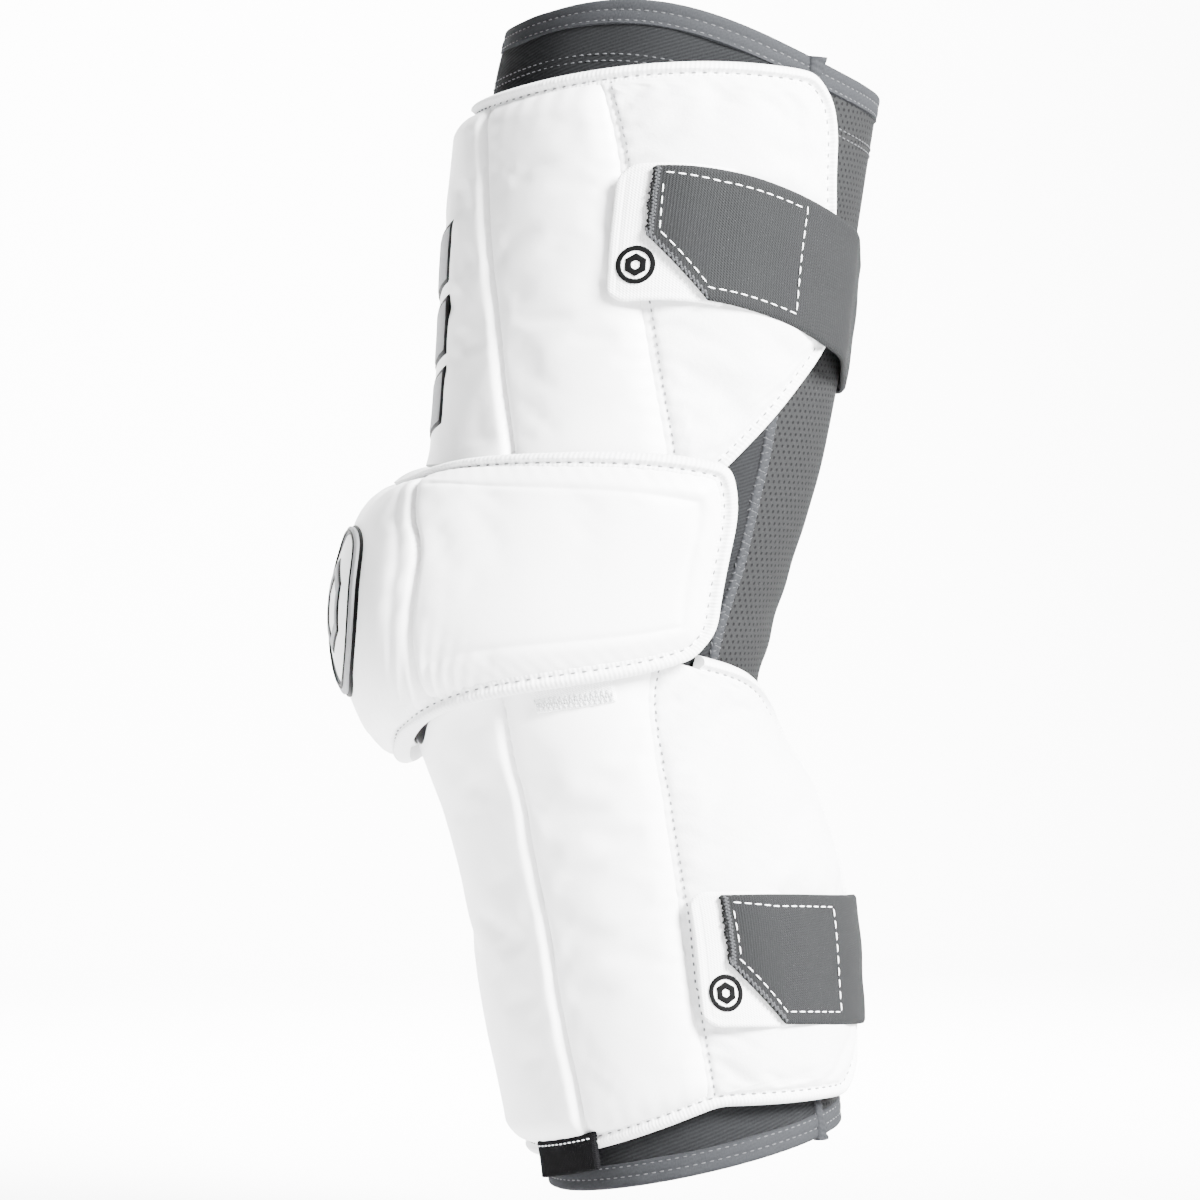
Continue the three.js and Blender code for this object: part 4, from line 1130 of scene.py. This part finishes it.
def build_cap_tab(side, hand):
    """A tab that ties the cap down to the forearm guard, with its zigzag of thick thread, painted light grey
    as the shade over the tab's raised relief.
    """
    u, v = grid(41, 25)
    angle = side * (TAB_START + TAB_SPAN * u)
    z = cap_bottom(angle) - TAB_DROP + TAB_HEIGHT * v
    rims = roll(np.minimum(v * TAB_HEIGHT, (1 - v) * TAB_HEIGHT), 0.9) * roll(np.minimum(u, 1 - u) * 26, 1.0)
    lift = PAD_LIFT + 9.6 + 1.1 * rims + 0.15 * waves(angle, z, 9, 41)
    tab = shell(f"sewn_tab_{hand}", "tab", angle, z, lift, PAD_LIFT + 9.4)
    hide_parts(f"cap_tab_{hand}")
    run = np.linspace(0, 1, 1200)
    place = side * (TAB_START + 1 + (TAB_SPAN - 2) * run)
    level = cap_bottom(place) - 6.6 + 3.6 * zigzag(run, 15)
    # The zigzag's light grey thread is painted shade over the white tab's relief.
    surface_stitches(
        f"sewn_tab_zigzag_{hand}", "thread_tack_painted_shade", place, level, PAD_LIFT + 10.9, *TACK_STITCH,
    )


# Badge, bars, straps and label.

BADGE_HEIGHT = -0.0095 * SLEEVE_LENGTH
# A plate's rise over its seat, its inner and outer radius, its thickness and its sides, 0 when round.
Plate = namedtuple("Plate", "name key rise inner outer height sides")
BADGE_PLATES = [Plate(*row) for row in (
    ("badge_outer_ring", "rubber_black", 0.0, 24.0, 28.6, 1.3, 0),
    ("badge_face", "rubber_white", 0.0, 0.5, 24.3, 1.5, 0),
    ("badge_band", "rubber_grey", 1.2, 24.2, 27.2, 1.2, 0),
    ("badge_inner_line", "rubber_black", 2.1, 23.8, 25.2, 0.6, 0),
    ("badge_hexagon_edge", "rubber_black", 1.1, 8.5, 14.5, 0.8, 6),
    ("badge_hexagon_band", "rubber_grey", 1.8, 9.8, 13.2, 0.4, 6),
)]

BAR_START = 0.13 * SLEEVE_LENGTH
BAR_PITCH = 24
BAR_HEIGHT = 20
BAR_ANGLE = 9
BAR_SLANT = 5
DISC_COLUMNS = 96


def disc(plate, centre, scale, seat, spread=1.0, slope=1.0, rows=9):
    """A low round or many-sided plate: polar places about a centre, its rims rounded by a quarter circle."""
    u, v = grid(DISC_COLUMNS + 1, rows)
    u, v = u[:-1], v[:-1]
    round_turn = 2 * math.pi * u
    corner = 1.0
    if plate.sides:
        half = math.pi / plate.sides
        corner = math.cos(half) / np.cos((round_turn % (2 * half)) - half)
    width = plate.outer - plate.inner
    radius = (plate.inner + width * v) * corner
    angle = centre[0] + radius * np.sin(round_turn) / scale
    z = centre[1] + radius * np.cos(round_turn) / spread
    open_centre = plate.inner > 0.6
    edge = np.minimum(width * (1 - v), width * v if open_centre else width)
    base = seat(angle, z) + plate.rise
    lift = base + 0.05 + plate.height * (0.35 + 0.65 * roll(edge, slope))
    return shell(plate.name, plate.key, angle, z, lift, base, ring=True)


def build_badge():
    """The round badge: a black ring with a grey band, a white plate and a plain hexagon."""
    top = float(cap_over(0.0, 0.5))
    scale = (top + RADIUS) * math.pi / 180
    ends = lifted(0.0, np.array([BADGE_HEIGHT - 10, BADGE_HEIGHT + 10]), top)
    spread = 0.95 * float(np.linalg.norm(ends[1] - ends[0])) / 20

    def seat(angle, z):
        return cap_over(angle, cap_share(angle, z)) + 0.1

    pieces = [disc(plate, (0.0, BADGE_HEIGHT), scale, seat, spread, rows=25) for plate in BADGE_PLATES]
    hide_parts("badge_ring")
    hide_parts("badge_plate")


def build_bars():
    """Three slanted bars down the front ridge, each a black outline round a grey field."""
    for number in range(3):
        low = BAR_START + number * BAR_PITCH
        for name, key, margin, base, height in (
            (f"front_bar_{number + 1}", "rubber_black", 0.0, 0.3, 0.9),
            (f"front_bar_field_{number + 1}", "rubber_grey", 1.7, 1.1, 0.35),
        ):
            u, v = grid(21, 25)
            angle = BAR_ANGLE * (2 * u - 1) * (1 - margin / 9.5)
            slant = BAR_SLANT * (angle + BAR_ANGLE) / (2 * BAR_ANGLE)
            z = low + BAR_HEIGHT / 2 + (BAR_HEIGHT / 2 - margin) * (2 * v - 1) + slant
            lift = PAD_LIFT + GUARD_FOAM + RIDGE_RISE + base
            edge = np.minimum(np.minimum(u, 1 - u) * 2 * BAR_ANGLE, np.minimum(v, 1 - v) * BAR_HEIGHT)
            top = lift + height * (0.5 + 0.5 * roll(edge, 0.8))
            piece = shell(name, key, angle, z, top, lift - 0.5)
            if margin == 0:
                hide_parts(f"ridge_bar_{number + 1}")


# A strap runs from its free end's angle to its sewn end's, and leaves the wing at the edge's angle. Its
# height and its bend are shares of the sleeve's length. The mark is the place of the tab's small plates.
Strap = namedtuple("Strap", "name start end edge share wave mark")
UPPER_STRAP = Strap("upper_strap", 74.5, 250.0, 138.0, 0.229, 0.034, (72.6, 108.0))
LOWER_STRAP = Strap("lower_strap", 96.0, 262.0, 166.0, -0.305, 0.0075, (94.6, -127.0))
STRAP_WIDTH = 42.0
STRAP_RISE = PAD_LIFT + WING_FLARE + 7.2
STRAP_SCALE = DEGREE * 1.15
CLIP_ANGLE = 17
CLIP_HEIGHT = 20
BOX_LENGTH = 50
HOOK_BACK = 9
HOOK_SPAN = 30
HOOK_CORNER = 6


def strap_middle(strap, angle):
    """The strap's middle line, which bends up towards its ends like a cosine."""
    return SLEEVE_LENGTH * (strap.share + strap.wave * (1 - np.cos(np.radians(1.8 * (180 - angle)))))


def strap_path(strap, angle):
    """The strap's sharp path: over its tab, flat on the wing, then straight across to the sleeve."""
    from_back = np.abs(180 - angle)
    back = 1 + SLEEVE_WALL
    meet = math.degrees(math.acos((RADIUS + back) / (RADIUS + STRAP_RISE)))
    bridge = from_back - (180 - strap.edge - meet)
    span = (RADIUS + back) / np.cos(np.radians(np.clip(bridge, 0, meet))) - RADIUS
    over_tab = 1.7 * (1 - smooth(strap.start + 22, strap.start + 34, angle))
    side = 2.4 * (1 - smooth(strap.start + 6, strap.start + 22, angle))
    return np.where(from_back > 180 - strap.edge, STRAP_RISE, span) + over_tab + side


def strap_lift(strap, angle):
    """The strap's lift: its path averaged over 7 degrees, since webbing turns no sharp corner."""
    angle = np.asarray(angle, float)
    return np.mean([strap_path(strap, angle + turn) for turn in np.linspace(-3.5, 3.5, 9)], axis=0)


def strap_place(strap, angle, share):
    """A place on the strap: share -1 to 1 across it, with its lower corner clipped at the free end."""
    cut = CLIP_HEIGHT * np.maximum(0, 1 - (angle - strap.start) / CLIP_ANGLE)
    middle = strap_middle(strap, angle)
    low = middle - STRAP_WIDTH / 2 + cut
    high = middle + STRAP_WIDTH / 2
    return low + (high - low) * (share + 1) / 2


def build_strap(strap, sizes):
    """An elastic strap with its stitches, over its hook tab."""
    build_webbing(strap)
    build_box_row(strap)
    build_end_rows(strap, sizes)
    build_hook_tab(strap)


def build_webbing(strap):
    """The strap's band, a little frayed at its free end."""
    u, v = grid(300, 45)
    angle = strap.start + (strap.end - strap.start) * u
    share = 2 * v - 1
    z = strap_place(strap, angle, share)
    fray = np.random.default_rng(7).normal(0, 0.35, 45)[None] / DEGREE * (1 - smooth(0, 0.012, u))
    to_edge = np.minimum(v, 1 - v) * STRAP_WIDTH
    to_end = (angle - strap.start) * STRAP_SCALE
    lift = strap_lift(strap, angle)
    edge = 0.6 * (1 - roll(to_edge, 1.0)) + 0.6 * (1 - roll(to_end, 1.0))
    dent = 0.25 * channel(to_end - BOX_LENGTH, 0.7) * (to_edge > 3)
    cup = 0.25 * np.sin(2 * math.pi * share * 1.1) * smooth(20, 60, to_end) * 0.6
    soft = 0.3 * waves(angle, z, 34, 51) + cup
    over = lift + 1.8 - edge - dent + soft * smooth(0, 6, to_end)
    uv = np.stack([to_end, share * STRAP_WIDTH / 2], -1)
    band = shell(f"{strap.name}_webbing", "elastic", angle + fray, z, over, lift + 0.1, uv=uv)
    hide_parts(strap.name)


def build_box_row(strap):
    """The dashed box of stitches at the free end, which follows the clipped corner."""
    near, far = 3.2 / STRAP_SCALE, BOX_LENGTH / STRAP_SCALE
    top, low = 0.82, -0.8
    corners = [
        (strap.start + near, top), (strap.start + far, top), (strap.start + far, low),
        (strap.start + 17.5, low), (strap.start + near + 0.6, -0.62), (strap.start + near, top),
    ]
    line, across = [], []
    for (a, s), (b, t) in zip(corners[:-1], corners[1:]):
        line.append(np.linspace(a, b, 160)[:-1])
        across.append(np.linspace(s, t, 160)[:-1])
    line, across = np.concatenate(line), np.concatenate(across)
    place = strap_place(strap, line, across)
    surface_stitches(
        f"{strap.name}_box_row", "thread_light", line, place, strap_lift(strap, line) + 1.95, *BOX_STITCH,
    )


def build_end_rows(strap, sizes):
    """The overlocked rows along the free end and its clipped corner, and two rows at the sewn end."""
    run = np.linspace(0, 1, 400)
    free = strap.start + 0.8 / STRAP_SCALE + 0 * run
    surface_stitches(
        f"{strap.name}_end_row", "thread_seam", free + 1.2 * zigzag(run, 20) / STRAP_SCALE,
        strap_place(strap, free, 2 * run - 1), strap_lift(strap, free) + 1.9, *CUT_STITCH,
    )
    run = np.linspace(0, 1, 260)
    clip = strap.start + CLIP_ANGLE * run
    edge = strap_place(strap, clip, -1.0 + 0 * clip)
    surface_stitches(
        f"{strap.name}_clip_row", "thread_seam", clip, edge + 0.2 + 1.7 * zigzag(run, 15),
        strap_lift(strap, clip) + 1.9, *CUT_STITCH,
    )
    across = np.linspace(-0.9, 0.9, 120)
    for row, back in enumerate((1.8, 4.2)):
        sewn = strap.end - back / STRAP_SCALE + 0 * across
        surface_stitches(
            f"{strap.name}_far_row_{row}", "thread_light", sewn, strap_place(strap, sewn, across),
            strap_lift(strap, sewn) + 1.9, sizes.stitch_pitch / MM, *ANCHOR_STITCH,
        )


def build_hook_tab(strap):
    """The white hook tab under the free end, with round corners and its small ring and hexagon."""
    u, v = grid(90, 61)
    start_angle = strap.start - HOOK_BACK
    angle = start_angle + HOOK_SPAN * u
    along = (angle - start_angle) * DEGREE
    drop = np.clip(HOOK_CORNER**2 - np.maximum(HOOK_CORNER - along, 0) ** 2, 0, None)
    corner = HOOK_CORNER - np.sqrt(drop)
    half = STRAP_WIDTH / 2 + 1 - corner
    z = strap_middle(strap, angle) + half * (2 * v - 1)
    seat = strap_lift(strap, np.maximum(angle, strap.start))
    to_rim = np.minimum(along, np.minimum(v, 1 - v) * 2 * half)
    rows = channel(to_rim - 2.6, 0.5)
    over = seat - 0.5 - 0.7 * (1 - roll(to_rim, 1.2)) - 0.25 * rows + 0.15 * waves(angle, z, 14, 61)
    tab = shell(f"{strap.name}_hook_tab", "tab", angle, z, over, seat - 1.7)
    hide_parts(f"{strap.name}_tab")

    def mark_seat(angle, z):
        return strap_lift(strap, np.maximum(angle, strap.start)) - 0.42

    for plate in (
        Plate(f"{strap.name}_mark_ring", "rubber_black", 0.0, 4.5, 6.1, 0.35, 0),
        Plate(f"{strap.name}_mark_hexagon", "rubber_black", 0.0, 1.5, 3.7, 0.35, 6),
    ):
        disc(plate, strap.mark, DEGREE * 1.2, mark_seat, slope=0.3)


LABEL_START = 17
LABEL_SPAN = 29
LABEL_HEIGHT = 12.5


def build_label():
    """The folded label over the forearm guard's bottom edge, with one light row of stitches near its top."""
    u, v = grid(61, 41)
    angle = LABEL_START + LABEL_SPAN * u
    z = lower_low(angle) + BINDING_WIDTH - LABEL_HEIGHT * (1 - v)
    sag = 1.0 * (1 - v) * np.sin(math.pi * u)
    edge = np.minimum(np.minimum(u, 1 - u) * 30, np.minimum(v, 1 - v) * LABEL_HEIGHT)
    lift = PAD_LIFT + 6.8 + 0.9 * roll(edge, 0.9) + 0.4 * waves(angle, z, 15, 71) - sag
    label = shell("folded_label", "label", angle, z, lift, PAD_LIFT + 5.6 - sag)
    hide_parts("hem_label")
    line = np.linspace(LABEL_START + 1, LABEL_START + LABEL_SPAN - 1, 200)
    level = lower_low(line) + BINDING_WIDTH - 1.8
    surface_stitches("label_row", "thread_light", line, level, PAD_LIFT + 7.9, *LABEL_STITCH)


# Stage, in metres.

FLOOR_BEND = 0.6
FLOOR_HEIGHT = -0.23
FLOOR_ROWS = 60
PAPER = (0.6, 0.6, 0.6, 1)
WORLD_SEEN = 3.5
WORLD_LIGHT = 0.2
CAMERA_DISTANCE = 1.5
CAMERA_LENS = 133.9
Lamp = namedtuple("Lamp", "name place target size power")
LAMPS = [Lamp(*row) for row in (
    ("Key", (1.2, -1.6, 1.2), (0, 0, 0), 0.8, 680.0),
    ("Fill", (-1.7, -0.7, 0.3), (0, 0, 0), 1.2, 2.0),
    ("Top", (0.3, 0.3, 2.0), (0, 0, 0), 1.2, 60.0),
    ("Backdrop", (0.0, 0.5, 0.9), (0, 1.8, 0.1), 1.2, 380.0),
)]


def build_stage(settings):
    """A floor that runs up behind in a soft bend, a pale world, large soft lights and the photo's camera."""
    build_backdrop()
    build_world()
    for row in LAMPS:
        light = bpy.data.lights.new(row.name, "AREA")
        light.energy = row.power
        light.size = row.size
        lamp = bpy.data.objects.new(row.name, light)
        bpy.context.scene.collection.objects.link(lamp)
        lamp.location = row.place
        aim(lamp, row.target)
    camera = bpy.data.cameras.new("Camera")
    camera.lens = CAMERA_LENS
    camera.sensor_width = 36.0
    holder = bpy.data.objects.new("Camera", camera)
    bpy.context.scene.collection.objects.link(holder)
    turn = math.radians(settings.camera_azimuth)
    holder.location = (math.sin(turn) * CAMERA_DISTANCE, -math.cos(turn) * CAMERA_DISTANCE, 0)
    aim(holder, (0, 0, 0))
    bpy.context.scene.camera = holder


def build_backdrop():
    """The paper floor, which bends up behind the object."""
    t = np.linspace(0, 1, FLOOR_ROWS)
    arc = np.pi / 2 * np.clip((t - 0.35) / 0.3, 0, 1)
    back = 1.2 + FLOOR_BEND * np.sin(arc)
    flat = -2.6 + np.clip(t / 0.35, 0, 1) * 3.8
    y = np.where(t < 0.35, flat, back)
    z = FLOOR_HEIGHT + FLOOR_BEND * (1 - np.cos(arc)) + np.clip((t - 0.65) / 0.35, 0, 1) * 2.2
    x = np.linspace(-1.6, 3, 3)
    points = np.stack(np.broadcast_arrays(x[:, None], y[None], z[None]), -1).reshape(-1, 3)
    number = np.arange(3 * FLOOR_ROWS).reshape(3, FLOOR_ROWS)
    faces = quads(number[:-1, :-1], number[1:, :-1], number[1:, 1:], number[:-1, 1:])
    mesh = bpy.data.meshes.new("backdrop")
    mesh.from_pydata(points, [], faces.tolist())
    mesh.polygons.foreach_set("use_smooth", [True] * len(mesh.polygons))
    floor = bpy.data.objects.new("backdrop", mesh)
    bpy.context.scene.collection.objects.link(floor)
    material, _, shader = start("Paper backdrop")
    shader.inputs["Base Color"].default_value = PAPER
    shader.inputs["Roughness"].default_value = 0.95
    mesh.materials.append(material)


def build_world():
    """A white world that the camera sees bright, and that lights the object only a little."""
    world = bpy.data.worlds.new("Studio")
    bpy.context.scene.world = world
    world.use_nodes = True
    sky = world.node_tree.nodes["Background"]
    sky.inputs[0].default_value = (1, 1, 1, 1)
    seen = add(world.node_tree, "ShaderNodeLightPath").outputs["Is Camera Ray"]
    strength = math_node(world.node_tree, "MULTIPLY_ADD", seen, WORLD_SEEN, WORLD_LIGHT)
    world.node_tree.links.new(strength, sky.inputs[1])


def aim(item, target):
    """Turns a light or a camera towards a place."""
    item.rotation_euler = (item.location - Vector(target)).to_track_quat("Z", "Y").to_euler()


# The add-on.


class ArmPadSizes(bpy.types.PropertyGroup):
    """Sizes of the soft details."""

    ripple: FloatProperty(
        name="Ripple", description="Height of the soft unevenness of foam and cloth",
        default=0.0005, unit="LENGTH",
    )
    groove_depth: FloatProperty(
        name="Groove depth", description="Depth of the grooves beside a guard's ridge",
        default=0.0026, unit="LENGTH",
    )
    wing_fill: FloatProperty(
        name="Wing fill", description="Thickness of the padded wings",
        default=0.0068, unit="LENGTH",
    )
    tape_thickness: FloatProperty(
        name="Tape thickness", description="Height of the rolled binding tape",
        default=0.006, unit="LENGTH",
    )
    stitch_pitch: FloatProperty(
        name="Stitch pitch", description="Distance from stitch to stitch",
        default=0.0028, unit="LENGTH",
    )
    camera_azimuth: FloatProperty(
        name="Camera azimuth", description="Side from which the camera looks, in degrees",
        default=-10.0,
    )


class ArmPadColours(bpy.types.PropertyGroup):
    """Colours of the materials."""

    white: FloatVectorProperty(
        name="White", description="Coated shell",
        default=(0.976, 0.976, 0.976), size=3, subtype="COLOR_GAMMA",
    )
    knit: FloatVectorProperty(
        name="Knit", description="Sleeve's front",
        default=(0.06, 0.06, 0.063), size=3, subtype="COLOR_GAMMA",
    )
    mesh: FloatVectorProperty(
        name="Mesh", description="Sleeve's inner side",
        default=(0.155, 0.155, 0.158), size=3, subtype="COLOR_GAMMA",
    )
    elastic: FloatVectorProperty(
        name="Elastic", description="Straps",
        default=(0.1, 0.1, 0.102), size=3, subtype="COLOR_GAMMA",
    )


class ARMPAD_OT_sleeve(bpy.types.Operator):
    """Builds the sleeve"""

    bl_idname = "armpad.sleeve"
    bl_label = "Build Sleeve"

    def execute(self, context):
        build_sleeve(context.scene.arm_pad_sizes)
        return {"FINISHED"}


class ARMPAD_OT_guards(bpy.types.Operator):
    """Builds the upper and the forearm guard"""

    bl_idname = "armpad.guards"
    bl_label = "Build Guards"

    def execute(self, context):
        build_guard(UPPER, context.scene.arm_pad_sizes)
        build_guard(LOWER, context.scene.arm_pad_sizes)
        build_bars()
        build_label()
        return {"FINISHED"}


class ARMPAD_OT_cap(bpy.types.Operator):
    """Builds the elbow cap and its badge"""

    bl_idname = "armpad.cap"
    bl_label = "Build Elbow Cap"

    def execute(self, context):
        build_cap(context.scene.arm_pad_sizes)
        build_badge()
        return {"FINISHED"}


class ARMPAD_OT_straps(bpy.types.Operator):
    """Builds the two straps and their tabs"""

    bl_idname = "armpad.straps"
    bl_label = "Build Straps"

    def execute(self, context):
        build_strap(UPPER_STRAP, context.scene.arm_pad_sizes)
        build_strap(LOWER_STRAP, context.scene.arm_pad_sizes)
        return {"FINISHED"}


class ARMPAD_OT_stage(bpy.types.Operator):
    """Builds the backdrop, the lights and the camera"""

    bl_idname = "armpad.stage"
    bl_label = "Build Stage"

    def execute(self, context):
        build_stage(context.scene.arm_pad_sizes)
        return {"FINISHED"}


class ARMPAD_PT_panel(bpy.types.Panel):
    """The arm pad's sizes, colours and build steps"""

    bl_idname = "ARMPAD_PT_panel"
    bl_label = "Arm Pad"
    bl_space_type = "VIEW_3D"
    bl_region_type = "UI"
    bl_category = "Arm Pad"

    def draw(self, context):
        layout = self.layout
        for group in (context.scene.arm_pad_sizes, context.scene.arm_pad_colours):
            for key in group.__annotations__:
                layout.prop(group, key)
        for operator in OPERATORS:
            layout.operator(operator.bl_idname)


OPERATORS = (ARMPAD_OT_sleeve, ARMPAD_OT_guards, ARMPAD_OT_cap, ARMPAD_OT_straps, ARMPAD_OT_stage)
CLASSES = (ArmPadSizes, ArmPadColours, *OPERATORS, ARMPAD_PT_panel)


def register():
    """Adds the add-on's classes and the scene's settings."""
    for item in CLASSES:
        bpy.utils.register_class(item)
    bpy.types.Scene.arm_pad_sizes = PointerProperty(type=ArmPadSizes)
    bpy.types.Scene.arm_pad_colours = PointerProperty(type=ArmPadColours)


def unregister():
    """Takes the add-on's classes and settings away again."""
    del bpy.types.Scene.arm_pad_colours
    del bpy.types.Scene.arm_pad_sizes
    for item in reversed(CLASSES):
        bpy.utils.unregister_class(item)


def main():
    """Builds the whole scene."""
    register()
    bpy.ops.armpad.sleeve()
    bpy.ops.armpad.guards()
    bpy.ops.armpad.cap()
    bpy.ops.armpad.straps()
    bpy.ops.armpad.stage()


if __name__ == "__main__":
    main()
